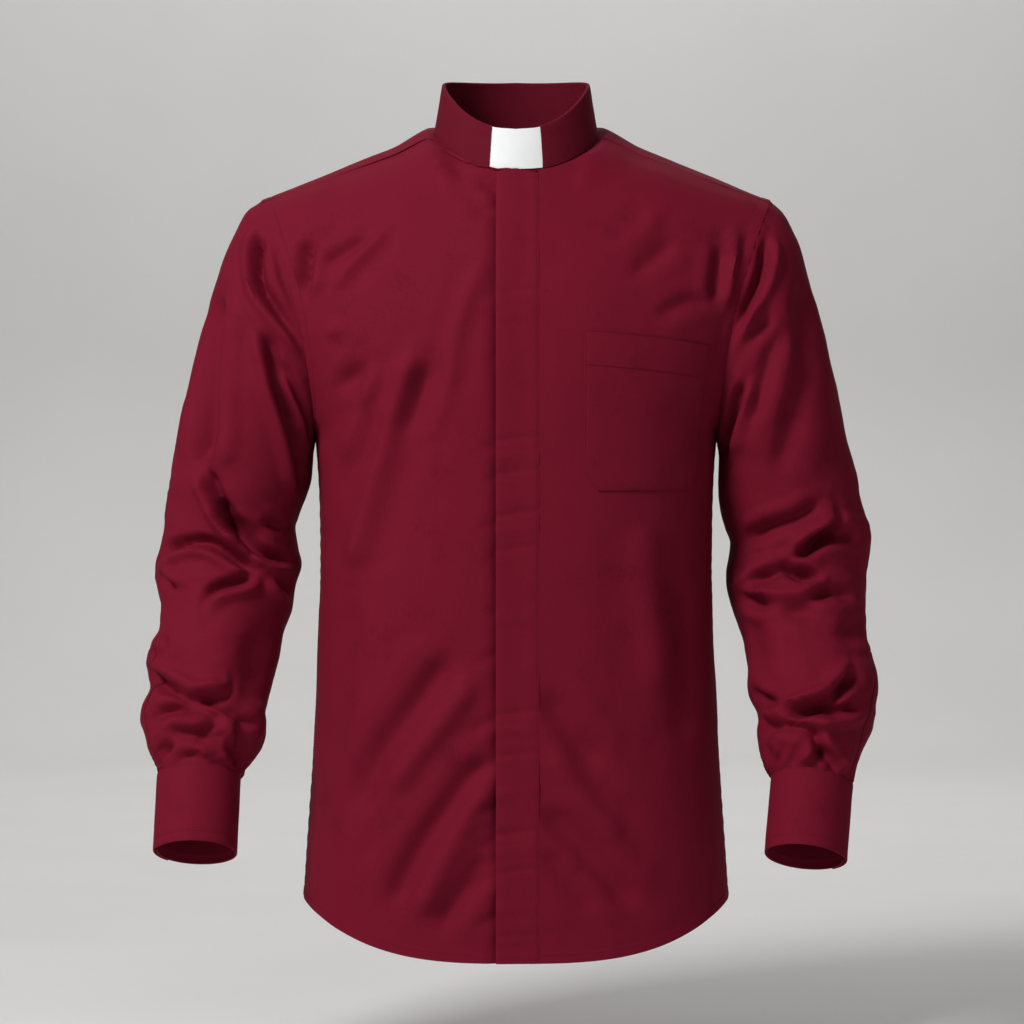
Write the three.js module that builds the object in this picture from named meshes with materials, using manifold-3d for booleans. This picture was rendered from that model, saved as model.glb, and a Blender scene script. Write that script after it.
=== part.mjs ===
// A long-sleeved clergy shirt with a tab collar, hollow and in the form it is worn in.
// Millimetres, +Z up. The front faces -Y and the wearer's left is +X.
// The origin is the middle of the neck opening at its base, where the wearer carries the shirt.
import * as THREE from 'three';
import { mergeVertices } from 'three/addons/utils/BufferGeometryUtils.js';
import Module from 'manifold-3d';

const wasm = await Module();
wasm.setup();

// ---- Cloth ----
const CLOTH = 1.4; // wall of poplin with its seam allowances
const SLEEVE_CLOTH = 1.6;
const CUFF_CLOTH = 2.2; // two layers and an interlining
const SEAM = 0.4; // how far each piece is drawn back from a seam
const FACE_GAP = 0.35; // gap under a piece that lies on another

// ---- Collar ----
const NECK = { halfWidth: 76, front: -75, back: 62 }; // the seam, in plan
const RIM = { halfWidth: 68.5, front: -74, back: 50 }; // the collar's upper edge, in plan
const NECK_HEIGHTS = [
  { angle: 0, seam: -36, rim: 2 },
  { angle: 17, seam: -34.5, rim: 4 },
  { angle: 31, seam: -30, rim: 10 },
  { angle: 47, seam: -21, rim: 21 },
  { angle: 62, seam: -13, rim: 33 },
  { angle: 78, seam: -3, rim: 44 },
  { angle: 95, seam: 8, rim: 51 },
  { angle: 125, seam: 15, rim: 56 },
  { angle: 180, seam: 20, rim: 59 },
];
const COLLAR_WALL = 3.0;
const COLLAR_RISE = 0.9; // clearance over the neckline's edge
const COLLAR_OUTER_LAYER = 0.8;
const COLLAR_SLIT = 0.15; // half the gap between the collar's buttoned ends, in degrees
const WINDOW = { reach: 19, depth: 2.1 }; // where the outer layer is left open, in degrees
const TAB = {
  reach: 37, shoulder: 18.8, step: 0.15, thickness: 0.7, gap: 0.3, // reach to step in degrees
  low: 0.03, high: 0.99, tuckedLow: 0.16, tuckedHigh: 0.84, // parts of the collar's height
};

// ---- Body ----
const HEM_SIDE = -701;
const HEM_FRONT = -749;
const HEM_BACK = -745;
const UNDERARM = -275;
const UNDERARM_FRONT = -272;
const SHOULDER_TIP = -57;
const FRONT_DEPTH = [
  { height: -749, y: -124 },
  { height: -620, y: -121 },
  { height: -480, y: -122 },
  { height: -380, y: -126 },
  { height: -280, y: -129 },
  { height: -200, y: -128 },
  { height: -140, y: -119 },
  { height: -90, y: -101 },
  { height: -60, y: -87 },
  { height: -36, y: -75 },
];
const BACK_DEPTH = [
  { height: -745, y: 112 },
  { height: -620, y: 107 },
  { height: -480, y: 101 },
  { height: -380, y: 103 },
  { height: -280, y: 113 },
  { height: -190, y: 121 },
  { height: -120, y: 117 },
  { height: -60, y: 100 },
  { height: -20, y: 82 },
  { height: 20, y: 62 },
];
const SIDE_WIDTH = [
  { height: -701, x: 197 },
  { height: -640, x: 193 },
  { height: -560, x: 187.5 },
  { height: -480, x: 183.5 },
  { height: -400, x: 181.5 },
  { height: -330, x: 182.5 },
  { height: -275, x: 186 },
];
const ARMHOLE = { lowX: 186, highX: 236, halfDepth: 72 };
const ROUNDNESS = 0.87; // 1 is an ellipse, less is squarer
const LOWER_ROWS = 17;

// Rows of the body's surface above the underarm, from the front over the shoulder to the back.
// Each runs from the middle or the neckline to the armhole. "height" is on the centre line,
// "neck" is an angle round the neckline, and "arm" is an angle round the armhole.
const CHEST_ROWS = [
  { height: -246, arm: 26 },
  { height: -216, arm: 50 },
  { height: -184, arm: 73 },
  { height: -152, arm: 86 },
  { height: -120, arm: 98 },
  { height: -90, arm: 110 },
  { height: -62, arm: 121 },
  { height: -36, arm: 132 },
];
const COLLARBONE_ROWS = [
  { neck: 17, arm: 138 },
  { neck: 34, arm: 145 },
  { neck: 54, arm: 154 },
  { neck: 79, arm: 166 },
];
const SHOULDER_ROWS = [
  { neck: 79, arm: 166 },
  { neck: 98, arm: 180 },
  { neck: 122, arm: 191 },
  { neck: 150, arm: 202 },
  { neck: 180, arm: 211 },
];
const YOKE_BACK_ROWS = [
  { height: 20, arm: 211 },
  { height: -12, arm: 215 },
  { height: -46, arm: 220 },
  { height: -82, arm: 226 },
];
const BACK_ROWS = [
  { height: -82, arm: 226 },
  { height: -112, arm: 241 },
  { height: -142, arm: 256 },
  { height: -171, arm: 271 },
  { height: -198, arm: 286 },
  { height: -224, arm: 302 },
  { height: -249, arm: 322 },
];

// Distances from the middle of the front to the grid's columns. The pocket lies on some of them.
const PANEL_COLUMNS = [40, 60, 78, 96, 114, 132, 150, 168, 184];
const OUTER_COLUMNS = 3; // from the last of those to the side seam or armhole
const TYPICAL_REACH = 245; // middle to side, along the cloth

// ---- Placket and pocket ----
const PLACKET = { freeEdge: 18, seam: 20.6, cloth: 1.6, lift: 1.95 };
const UNDERLAP = [-16, -8, 0, 9]; // columns that run on past the middle, under the placket
const POCKET = { firstColumn: 2, lastColumn: 9, firstRow: 15, lastRow: 20 };

// ---- Sleeves: rows from the armhole down to the cuff ----
// The outer and inner edges as seen from the front, the middle's depth and the half depth.
const SLEEVE_RIGHT = [
  { outX: 236.4, outZ: -57, inX: 186.4, inZ: -275, midY: 0, depth: 72, tilt: 0 },
  { outX: 252, outZ: -70, inX: 187.8, inZ: -284, midY: 0, depth: 74, tilt: 0 },
  { outX: 266, outZ: -98, inX: 188.5, inZ: -292, midY: 0, depth: 75, tilt: 0 },
  { outX: 278, outZ: -131, inX: 189, inZ: -300, midY: 1, depth: 75, tilt: 0 },
  { outX: 289, outZ: -169, inX: 190, inZ: -309, midY: 2, depth: 74, tilt: 0 },
  { outX: 299, outZ: -205, inX: 192, inZ: -320, midY: 4, depth: 72, tilt: 0 },
  { outX: 307, outZ: -240, inX: 195.5, inZ: -331, midY: 6, depth: 70, tilt: 0 },
  { outX: 315, outZ: -275, inX: 199.5, inZ: -342, midY: 8, depth: 68, tilt: 0 },
  { outX: 322, outZ: -310, inX: 203, inZ: -352, midY: 9, depth: 66, tilt: 0 },
  { outX: 327, outZ: -341, inX: 206, inZ: -361, midY: 10, depth: 64, tilt: 2 },
  { outX: 329, outZ: -368, inX: 203, inZ: -378, midY: 9, depth: 62, tilt: 5 },
  { outX: 336, outZ: -393, inX: 200, inZ: -394, midY: 6, depth: 62, tilt: 8 },
  { outX: 334, outZ: -413, inX: 205, inZ: -412, midY: 1, depth: 62, tilt: 12 },
  { outX: 328, outZ: -436, inX: 208, inZ: -435, midY: -8, depth: 60, tilt: 16 },
  { outX: 330, outZ: -456, inX: 215, inZ: -457, midY: -18, depth: 59, tilt: 19 },
  { outX: 337.5, outZ: -479, inX: 219.5, inZ: -481, midY: -29, depth: 58, tilt: 21 },
  { outX: 334, outZ: -507, inX: 225, inZ: -508, midY: -42, depth: 56, tilt: 22 },
  { outX: 342, outZ: -531, inX: 229, inZ: -529, midY: -53, depth: 54, tilt: 22 },
  { outX: 338, outZ: -549, inX: 227.5, inZ: -547, midY: -61, depth: 52, tilt: 22 },
  { outX: 331, outZ: -566, inX: 237, inZ: -565, midY: -69, depth: 47, tilt: 22 },
  { outX: 321.5, outZ: -585.5, inX: 250.5, inZ: -586.5, midY: -78, depth: 38.5, tilt: 22 },
];
const SLEEVE_LEFT = [
  { outX: 236.4, outZ: -57, inX: 186.4, inZ: -275, midY: 0, depth: 72, tilt: 0 },
  { outX: 252, outZ: -74, inX: 187.8, inZ: -284, midY: 0, depth: 74, tilt: 0 },
  { outX: 264, outZ: -103, inX: 188.5, inZ: -292, midY: 0, depth: 75, tilt: 0 },
  { outX: 274, outZ: -136, inX: 188.5, inZ: -301, midY: 1, depth: 75, tilt: 0 },
  { outX: 284, outZ: -170, inX: 188.5, inZ: -311, midY: 2, depth: 74, tilt: 0 },
  { outX: 292, outZ: -204, inX: 188.5, inZ: -322, midY: 4, depth: 72, tilt: 0 },
  { outX: 300, outZ: -239, inX: 189, inZ: -334, midY: 6, depth: 70, tilt: 0 },
  { outX: 307.5, outZ: -274, inX: 191, inZ: -347, midY: 8, depth: 68, tilt: 0 },
  { outX: 315.5, outZ: -308, inX: 195, inZ: -361, midY: 9, depth: 66, tilt: 0 },
  { outX: 323, outZ: -341, inX: 200, inZ: -375, midY: 10, depth: 64, tilt: 2 },
  { outX: 329.5, outZ: -371, inX: 198, inZ: -389, midY: 9, depth: 62, tilt: 5 },
  { outX: 328, outZ: -395, inX: 195.5, inZ: -402, midY: 5, depth: 62, tilt: 8 },
  { outX: 323.5, outZ: -416, inX: 197, inZ: -419, midY: -1, depth: 62, tilt: 12 },
  { outX: 323, outZ: -438, inX: 203, inZ: -440, midY: -10, depth: 61, tilt: 16 },
  { outX: 324, outZ: -460, inX: 209, inZ: -462, midY: -20, depth: 59, tilt: 19 },
  { outX: 326, outZ: -483, inX: 213.5, inZ: -486, midY: -31, depth: 58, tilt: 21 },
  { outX: 332, outZ: -508, inX: 213, inZ: -510, midY: -43, depth: 60, tilt: 22 },
  { outX: 326, outZ: -531, inX: 221, inZ: -531, midY: -54, depth: 59, tilt: 22 },
  { outX: 319, outZ: -552, inX: 220.5, inZ: -549, midY: -63, depth: 56, tilt: 22 },
  { outX: 311, outZ: -572, inX: 223, inZ: -566, midY: -71, depth: 50, tilt: 22 },
  { outX: 301.5, outZ: -594.5, inX: 231.8, inZ: -586, midY: -79, depth: 38.5, tilt: 22 },
];
const SLEEVE_RINGS = 25;
const SLEEVE_STEPS = 24;
const SLEEVE_PLACKET = { firstRing: 18, lastRing: 25, firstColumn: 0, lastColumn: 2 };

// ---- Cuffs ----
// The ends and the ramp are angles round the wrist, with 0 on its outer side and 90 at its front.
const CUFF = { length: 71, step: 12, overEnd: -42, rampTo: 42, underEnd: 366, flare: 1.0 };
const CUFF_BUTTON = { angle: -26, radius: 5.7, thickness: 2.6, rim: 0.6 };

// ---- Main folds ----
// Each is a straight soft trough (depth below 0) or ridge, seen from the front or back:
// it runs from x0, z0 to x1, z1, and "reach" is the distance from its line to flat cloth.
const FRONT_FOLDS = [
  { x0: -184, z0: -96, x1: -182, z1: -146, reach: 13, depth: -5 },
  { x0: -172, z0: -150, x1: -118, z1: -92, reach: 12, depth: 3 },
  { x0: -168, z0: -238, x1: -130, z1: -214, reach: 16, depth: -4 },
  { x0: -125, z0: -216, x1: -160, z1: -306, reach: 20, depth: 4 },
  { x0: -92, z0: -200, x1: -127, z1: -316, reach: 20, depth: 5 },
  { x0: -127, z0: -316, x1: -150, z1: -405, reach: 22, depth: 4 },
  { x0: -79, z0: -214, x1: -104, z1: -290, reach: 16, depth: -4 },
  { x0: -58, z0: -470, x1: -104, z1: -536, reach: 24, depth: -7 },
  { x0: -104, z0: -536, x1: -146, z1: -622, reach: 26, depth: -7 },
  { x0: -34, z0: -494, x1: -112, z1: -596, reach: 22, depth: 5 },
  { x0: -22, z0: -558, x1: -88, z1: -651, reach: 22, depth: -7 },
  { x0: -88, z0: -651, x1: -118, z1: -706, reach: 24, depth: -6 },
  { x0: -24, z0: -600, x1: -94, z1: -712, reach: 18, depth: 4 },
  { x0: -22, z0: -649, x1: -72, z1: -722, reach: 18, depth: -5 },
  { x0: 192, z0: -88, x1: 184, z1: -160, reach: 13, depth: 4 },
  { x0: 101, z0: -133, x1: 145, z1: -100, reach: 15, depth: -3 },
  { x0: 30, z0: -500, x1: 96, z1: -590, reach: 22, depth: -6 },
  { x0: 28, z0: -556, x1: 96, z1: -640, reach: 20, depth: 4 },
  { x0: 26, z0: -606, x1: 108, z1: -700, reach: 22, depth: -7 },
  { x0: 110, z0: -360, x1: 130, z1: -520, reach: 26, depth: 3 },
];
const BACK_FOLDS = [
  { x0: -150, z0: -150, x1: -120, z1: -320, reach: 24, depth: -5 },
  { x0: 146, z0: -160, x1: 112, z1: -350, reach: 24, depth: -5 },
  { x0: -60, z0: -110, x1: -80, z1: -420, reach: 26, depth: 5 },
  { x0: 52, z0: -110, x1: 84, z1: -440, reach: 26, depth: 5 },
  { x0: -20, z0: -430, x1: -120, z1: -560, reach: 24, depth: -7 },
  { x0: -10, z0: -520, x1: -100, z1: -680, reach: 24, depth: -7 },
  { x0: 14, z0: -440, x1: 118, z1: -570, reach: 24, depth: -7 },
  { x0: 16, z0: -540, x1: 104, z1: -690, reach: 24, depth: -6 },
  { x0: 10, z0: -600, x1: 4, z1: -730, reach: 26, depth: 5 },
];
const SLEEVE_RIGHT_FOLDS = [
  { side: 'front', x0: 243, z0: -146, x1: 200, z1: -212, reach: 16, depth: -4 },
  { side: 'front', x0: 326, z0: -391, x1: 240, z1: -400, reach: 14, depth: 5 },
  { side: 'front', x0: 280, z0: -431, x1: 210, z1: -427, reach: 15, depth: -4 },
  { side: 'front', x0: 308, z0: -544, x1: 262, z1: -538, reach: 13, depth: 4 },
  { side: 'back', x0: 320, z0: -372, x1: 214, z1: -392, reach: 15, depth: 4 },
];
const SLEEVE_LEFT_FOLDS = [
  { side: 'front', x0: 228, z0: -132, x1: 200, z1: -205, reach: 16, depth: -4 },
  { side: 'front', x0: 290, z0: -348, x1: 250, z1: -388, reach: 15, depth: 5 },
  { side: 'front', x0: 302, z0: -488, x1: 240, z1: -518, reach: 15, depth: -4 },
  { side: 'front', x0: 238, z0: -530, x1: 304, z1: -532, reach: 13, depth: 4 },
  { side: 'back', x0: 314, z0: -380, x1: 212, z1: -394, reach: 15, depth: 4 },
];

// ---- Materials ----
const POPLIN = { color: 0x6a1427, roughness: 0.72, metalness: 0 };
const COLLAR_POPLIN = { color: 0x5f1022, roughness: 0.72, metalness: 0 };
const TAB_PLASTIC = { color: 0xf3f4f5, roughness: 0.45, metalness: 0 };
const BUTTON_PLASTIC = { color: 0x4c0e1d, roughness: 0.35, metalness: 0 };

const shirt = new THREE.Group();

function addPiece(name, geometry, finish) {
  const piece = new THREE.Mesh(geometry, new THREE.MeshStandardMaterial(finish));
  piece.name = name;
  shirt.add(piece);
}

// ---- Number helpers ----
function mix(from, to, part) {
  return from + (to - from) * part;
}

function ease(from, to, value) {
  return THREE.MathUtils.smoothstep(value, from, to);
}

// A smooth curve through one column of a table, read at a value of its key column.
function readTable(table, key, column, value) {
  let i = 0;
  while (i < table.length - 2 && value > table[i + 1][key]) i += 1;
  const slope = (a, b) => (table[b][column] - table[a][column]) / (table[b][key] - table[a][key]);
  const before = Math.max(i - 1, 0);
  const after = Math.min(i + 2, table.length - 1);
  const span = table[i + 1][key] - table[i][key];
  const part = THREE.MathUtils.clamp((value - table[i][key]) / span, 0, 1);
  const rise = table[i + 1][column] - table[i][column];
  const startSlope = slope(before, i + 1) * span;
  const endSlope = slope(i, after) * span;
  const square = part * part;
  const cube = square * part;
  return table[i][column] + rise * (3 * square - 2 * cube)
    + startSlope * (cube - 2 * square + part) + endSlope * (cube - square);
}

// ---- Cloth as a wall ----
const pointKey = (point) => point.toArray().map((value) => Math.round(value * 1000)).join();

// Joins grids of points into one list of points and triangles. Columns run along +X on the front
// and rows run up it, so the triangles face out.
function weldGrids(grids) {
  const points = [];
  const index = new Map();
  const triangles = [];
  const indexOf = (point) => {
    const key = pointKey(point);
    if (!index.has(key)) {
      index.set(key, points.length);
      points.push(point);
    }
    return index.get(key);
  };
  for (const grid of grids) {
    for (let i = 0; i < grid.length - 1; i += 1) {
      for (let j = 0; j < grid[i].length - 1; j += 1) {
        const corners = [grid[i][j], grid[i][j + 1], grid[i + 1][j + 1], grid[i + 1][j]].map(indexOf);
        for (const [a, b, c] of [[0, 1, 2], [0, 2, 3]]) {
          const face = [corners[a], corners[b], corners[c]];
          if (new Set(face).size === 3) triangles.push(face);
        }
      }
    }
  }
  return { points, triangles, index };
}

function smoothNormals({ points, triangles }) {
  const normals = points.map(() => new THREE.Vector3());
  for (const [a, b, c] of triangles) {
    const side = points[b].clone().sub(points[a]);
    const normal = side.cross(points[c].clone().sub(points[a]));
    for (const corner of [a, b, c]) normals[corner].add(normal);
  }
  return normals.map((normal) => normal.normalize());
}

// Moves each point of the grids along the surface's normal by the distance that amountAt gives.
function raiseGrids(grids, amountAt) {
  const welded = weldGrids(grids);
  const normals = smoothNormals(welded);
  return grids.map((grid, whichGrid) => grid.map((row, i) => row.map((point, j) => {
    const normal = normals[welded.index.get(pointKey(point))];
    return point.clone().addScaledVector(normal, amountAt({ point, i, j, row, whichGrid }));
  })));
}

// Closes the space between an outer sheet and the same sheet moved in.
function closeWall(outer, inner, triangles) {
  const positions = [];
  const push = (...corners) => corners.forEach((p) => positions.push(p.x, p.y, p.z));
  const edges = new Set();
  for (const [a, b, c] of triangles) {
    push(outer[a], outer[b], outer[c]);
    push(inner[a], inner[c], inner[b]);
    for (const edge of [`${a},${b}`, `${b},${c}`, `${c},${a}`]) edges.add(edge);
  }
  for (const edge of edges) {
    const [a, b] = edge.split(',').map(Number);
    if (edges.has(`${b},${a}`)) continue;
    push(outer[b], outer[a], inner[a]);
    push(outer[b], inner[a], inner[b]);
  }
  const geometry = new THREE.BufferGeometry();
  geometry.setAttribute('position', new THREE.Float32BufferAttribute(positions, 3));
  return geometry;
}

// A wall of one thickness behind the grids. inwardAt may give the way in at a piece's sewn end.
function clothWall(grids, thickness, inwardAt = () => null) {
  const welded = weldGrids(grids);
  const normals = smoothNormals(welded);
  const inner = welded.points.map((point, i) => {
    const inward = inwardAt(point) ?? normals[i].clone().negate();
    return point.clone().addScaledVector(inward, thickness);
  });
  return closeWall(welded.points, inner, welded.triangles);
}

// Draws one edge of a grid back from its seam by a distance along the cloth.
function drawBack(grid, edge, distance) {
  const last = grid.length - 1;
  const pull = (point, next) => point.clone().add(next.clone().sub(point).setLength(distance));
  return grid.map((row, i) => row.map((point, j) => {
    if (edge === 'first row' && i === 0) return pull(point, grid[1][j]);
    if (edge === 'last row' && i === last) return pull(point, grid[last - 1][j]);
    if (edge === 'first column' && j === 0) return pull(point, row[1]);
    if (edge === 'last column' && j === row.length - 1) return pull(point, row[j - 1]);
    return point.clone();
  }));
}

function foldAt(folds, x, z) {
  let amount = 0;
  for (const fold of folds) {
    const runX = fold.x1 - fold.x0;
    const runZ = fold.z1 - fold.z0;
    const length = Math.hypot(runX, runZ);
    const along = ((x - fold.x0) * runX + (z - fold.z0) * runZ) / (length * length);
    const across = Math.abs((x - fold.x0) * runZ - (z - fold.z0) * runX) / length;
    const fade = fold.reach / length;
    const side = 1 - ease(0, fold.reach, across);
    const ends = ease(-fade, fade, along) * (1 - ease(1 - fade, 1 + fade, along));
    amount += fold.depth * side * ends;
  }
  return amount;
}

// ---- Body surface ----
function neckPoint(angle, up) {
  const turn = THREE.MathUtils.degToRad(angle);
  const halfWidth = mix(NECK.halfWidth, RIM.halfWidth, up);
  const front = mix(NECK.front, RIM.front, up);
  const back = mix(NECK.back, RIM.back, up);
  const fromFront = angle > 180 ? 360 - angle : Math.abs(angle);
  const seam = readTable(NECK_HEIGHTS, 'angle', 'seam', fromFront);
  const rim = readTable(NECK_HEIGHTS, 'angle', 'rim', fromFront);
  const y = (front + back) / 2 + (front - back) / 2 * Math.cos(turn);
  return new THREE.Vector3(halfWidth * Math.sin(turn), y, mix(seam, rim, up));
}

function armholePoint(angle) {
  const turn = THREE.MathUtils.degToRad(angle);
  const z = mix(UNDERARM, SHOULDER_TIP, (1 - Math.cos(turn)) / 2);
  const rise = (z - UNDERARM) / (SHOULDER_TIP - UNDERARM);
  const x = mix(ARMHOLE.lowX, ARMHOLE.highX, rise * rise);
  return new THREE.Vector3(x, -ARMHOLE.halfDepth * Math.sin(turn), z);
}

function centrePoint(isFront, height) {
  return new THREE.Vector3(0, readTable(isFront ? FRONT_DEPTH : BACK_DEPTH, 'height', 'y', height), height);
}

function sidePoint(height) {
  return new THREE.Vector3(readTable(SIDE_WIDTH, 'height', 'x', height), 0, height);
}

// One row of the body's surface as a fine line from its middle to its side, on the wearer's left.
function bodyRow({ start, end, sweep, lift }) {
  const full = THREE.MathUtils.degToRad(sweep);
  const power = (value) => Math.max(value, 0) ** ROUNDNESS;
  const line = [];
  for (let i = 0; i <= 60; i += 1) {
    const turn = full * i / 60;
    const outward = power(Math.sin(turn) / Math.sin(full));
    const backward = (1 - power(Math.cos(turn))) / (1 - power(Math.cos(full)));
    const y = mix(start.y, end.y, backward);
    line.push(new THREE.Vector3(mix(start.x, end.x, outward), y, mix(start.z, end.z, outward ** lift)));
  }
  return new THREE.CatmullRomCurve3(line, false, 'chordal');
}

function upperRow({ height, neck, arm }, isFront) {
  const start = neck === undefined ? centrePoint(isFront, height) : neckPoint(neck, 0);
  const fromUnderarm = Math.min(arm, 360 - arm);
  const lift = 1 + 2 * Math.max(0, 1 - fromUnderarm / 140);
  return { start, end: armholePoint(arm), sweep: 90 - 0.42 * fromUnderarm, lift, neck, height };
}

function lowerRows(isFront) {
  const hem = isFront ? HEM_FRONT : HEM_BACK;
  const rows = [];
  for (let i = 0; i <= LOWER_ROWS; i += 1) {
    const up = i / LOWER_ROWS;
    const height = mix(hem, UNDERARM_FRONT, up);
    const end = sidePoint(mix(HEM_SIDE, UNDERARM, up));
    rows.push({ start: centrePoint(isFront, height), end, sweep: 90, lift: 1 + 2.2 * (1 - up), height });
  }
  return rows;
}

// Points along half a row at the grid's columns, from the middle outward. The columns keep their
// distance from the middle on the chest and below, and spread evenly above it.
function halfRow(row, side, from, extraColumns = []) {
  const curve = bodyRow(row);
  const reach = curve.getLength();
  const pinned = row.neck === undefined ? 1 - ease(-150, -60, row.height) : 0;
  const start = row.neck === undefined ? from.start : 0;
  const distances = [start];
  for (const column of PANEL_COLUMNS) {
    const part = (column - from.spread) / (TYPICAL_REACH - from.spread);
    distances.push(mix(mix(start, reach, part), column, pinned));
  }
  const outermost = distances.at(-1);
  for (let i = 1; i <= OUTER_COLUMNS; i += 1) {
    distances.push(mix(outermost, reach, i / OUTER_COLUMNS));
  }
  return [...extraColumns, ...distances].map((distance) => {
    const point = curve.getPointAt(Math.min(Math.abs(distance) / reach, 1));
    point.x *= distance < 0 ? -side : side;
    return point;
  });
}

const FROM_FREE_EDGE = { start: PLACKET.freeEdge, spread: PLACKET.freeEdge };
const FROM_PLACKET_SEAM = { start: PLACKET.seam, spread: PLACKET.seam };
const rightHalf = (row, extraColumns) => halfRow(row, -1, FROM_FREE_EDGE, extraColumns).reverse();
const leftHalf = (row) => halfRow(row, 1, FROM_PLACKET_SEAM);

// A row across the back, with one shared point in the middle.
function backRow(row) {
  const right = halfRow(row, -1, { start: 0, spread: PLACKET.freeEdge });
  const left = halfRow(row, 1, { start: 0, spread: PLACKET.seam });
  return [...right.reverse(), ...left.slice(1)];
}

// A fold dies out over the two columns next to a side seam or an armhole.
function edgeFade(columnsIn) {
  return Math.min(columnsIn / 2, 1);
}

// ---- Fronts, placket and pocket ----
const HALF_COLUMNS = PANEL_COLUMNS.length + OUTER_COLUMNS + 1;
const RIGHT_COLUMNS = HALF_COLUMNS + UNDERLAP.length;

function underlapDrop(x) {
  return -PLACKET.lift * ease(-PLACKET.freeEdge, 8, x);
}

function frontGrids() {
  const rows = [...lowerRows(true), ...CHEST_ROWS.map((row) => upperRow(row, true))];
  const whole = rows.map((row) => [...rightHalf(row, UNDERLAP), ...leftHalf(row)]);
  const collarbone = COLLARBONE_ROWS.map((row) => upperRow(row, true));
  const neckRow = whole.at(-1);
  const right = [neckRow.slice(0, HALF_COLUMNS), ...collarbone.map((row) => rightHalf(row))];
  const left = [neckRow.slice(-HALF_COLUMNS), ...collarbone.map(leftHalf)];
  return [whole, right, left];
}

const columnsBetween = (grid, from, to) => grid.map((row) => row.slice(from, to + 1));

const flatFront = frontGrids();
const frontFold = ({ point, j, row, whichGrid }) => {
  const fromRight = whichGrid === 2 ? HALF_COLUMNS : j;
  const fromLeft = whichGrid === 1 ? HALF_COLUMNS : row.length - 1 - j;
  return foldAt(FRONT_FOLDS, point.x, point.z) * edgeFade(Math.min(fromRight, fromLeft));
};

function rightFrontGrids() {
  const isUnderlap = (at) => at.whichGrid === 0 && at.j < RIGHT_COLUMNS;
  const drop = (at) => (isUnderlap(at) ? underlapDrop(at.point.x) : 0);
  const [whole, collarbone] = raiseGrids(flatFront, (at) => frontFold(at) + drop(at));
  return [columnsBetween(whole, 0, RIGHT_COLUMNS - 1), collarbone];
}

function leftFrontGrids() {
  const [whole, , collarbone] = raiseGrids(flatFront, frontFold);
  return [columnsBetween(whole, RIGHT_COLUMNS, whole[0].length - 1), collarbone];
}

function placketGrid() {
  const [whole] = raiseGrids(flatFront, (at) => {
    return frontFold(at) + PLACKET.lift + underlapDrop(at.point.x);
  });
  return columnsBetween(whole, RIGHT_COLUMNS - UNDERLAP.length - 1, RIGHT_COLUMNS);
}

// The pocket lies on the left front's own points. Its bottom corners are cut off.
function pocketGrid(leftFront) {
  const [panel] = raiseGrids(leftFront, () => FACE_GAP + CLOTH);
  const rows = panel.slice(POCKET.firstRow, POCKET.lastRow + 1);
  const grid = columnsBetween(rows, POCKET.firstColumn, POCKET.lastColumn);
  const bottom = grid[0];
  bottom[0] = bottom[1];
  bottom[bottom.length - 1] = bottom[bottom.length - 2];
  return grid;
}

function drawBackEdges(grid, edges) {
  return edges.reduce((drawn, edge) => drawBack(drawn, edge, SEAM), grid);
}

const leftFront = leftFrontGrids();
const [rightPanel, rightCollarbone] = rightFrontGrids();
const [leftPanel, leftCollarbone] = leftFront;
addPiece('front_right', clothWall([
  drawBackEdges(rightPanel, ['first column']),
  drawBackEdges(rightCollarbone, ['first column', 'last row']),
], CLOTH), POPLIN);
addPiece('front_left', clothWall([
  drawBackEdges(leftPanel, ['last column']),
  drawBackEdges(leftCollarbone, ['last column', 'last row']),
], CLOTH), POPLIN);
const placket = drawBack(drawBackEdges(placketGrid(), ['last column']), 'last row', 4 * SEAM);
addPiece('placket', clothWall([placket], PLACKET.cloth), POPLIN);
addPiece('pocket', clothWall([pocketGrid(leftFront)], CLOTH), POPLIN);

// ---- Yoke and back ----
const shoulders = SHOULDER_ROWS.map((row) => upperRow(row, false));
const yokeRight = shoulders.map((row) => rightHalf(row));
const yokeLeft = shoulders.map(leftHalf);
const yokeBack = YOKE_BACK_ROWS.map((row) => backRow(upperRow(row, false)));
addPiece('yoke', clothWall([
  drawBackEdges(yokeRight, ['first column', 'first row']),
  drawBackEdges(yokeLeft, ['last column', 'first row']),
  drawBackEdges(yokeBack, ['first column', 'last column', 'last row']),
], CLOTH), POPLIN);

const backRows = [...BACK_ROWS.map((row) => upperRow(row, false)), ...lowerRows(false).reverse()];
const [backPanel] = raiseGrids([backRows.map(backRow)], ({ point, i, j, row }) => {
  const fromSeam = Math.min(j, row.length - 1 - j, i);
  return foldAt(BACK_FOLDS, point.x, point.z) * edgeFade(fromSeam);
});
addPiece('back', clothWall([
  drawBackEdges(backPanel, ['first column', 'last column', 'first row']),
], CLOTH), POPLIN);

// ---- Sleeves ----
// A closed ring round the arm: angle 0 is its outer side and 90 its front. Worked out on the
// wearer's left, and turned over for the right.
function ringFrame(table, ring) {
  const rows = table.map((row, index) => ({ index, ...row }));
  const read = (column) => readTable(rows, 'index', column, ring);
  const tilt = THREE.MathUtils.degToRad(read('tilt'));
  const outer = new THREE.Vector3(read('outX'), read('midY'), read('outZ'));
  const inner = new THREE.Vector3(read('inX'), read('midY'), read('inZ'));
  const across = outer.clone().sub(inner).multiplyScalar(0.5);
  const forward = new THREE.Vector3(0, -Math.cos(tilt), Math.sin(tilt)).multiplyScalar(read('depth'));
  return { middle: outer.add(inner).multiplyScalar(0.5), across, forward };
}

function ringPoint({ middle, across, forward }, angle) {
  const turn = THREE.MathUtils.degToRad(angle);
  const point = middle.clone().addScaledVector(across, Math.cos(turn));
  return point.addScaledVector(forward, Math.sin(turn));
}

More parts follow.
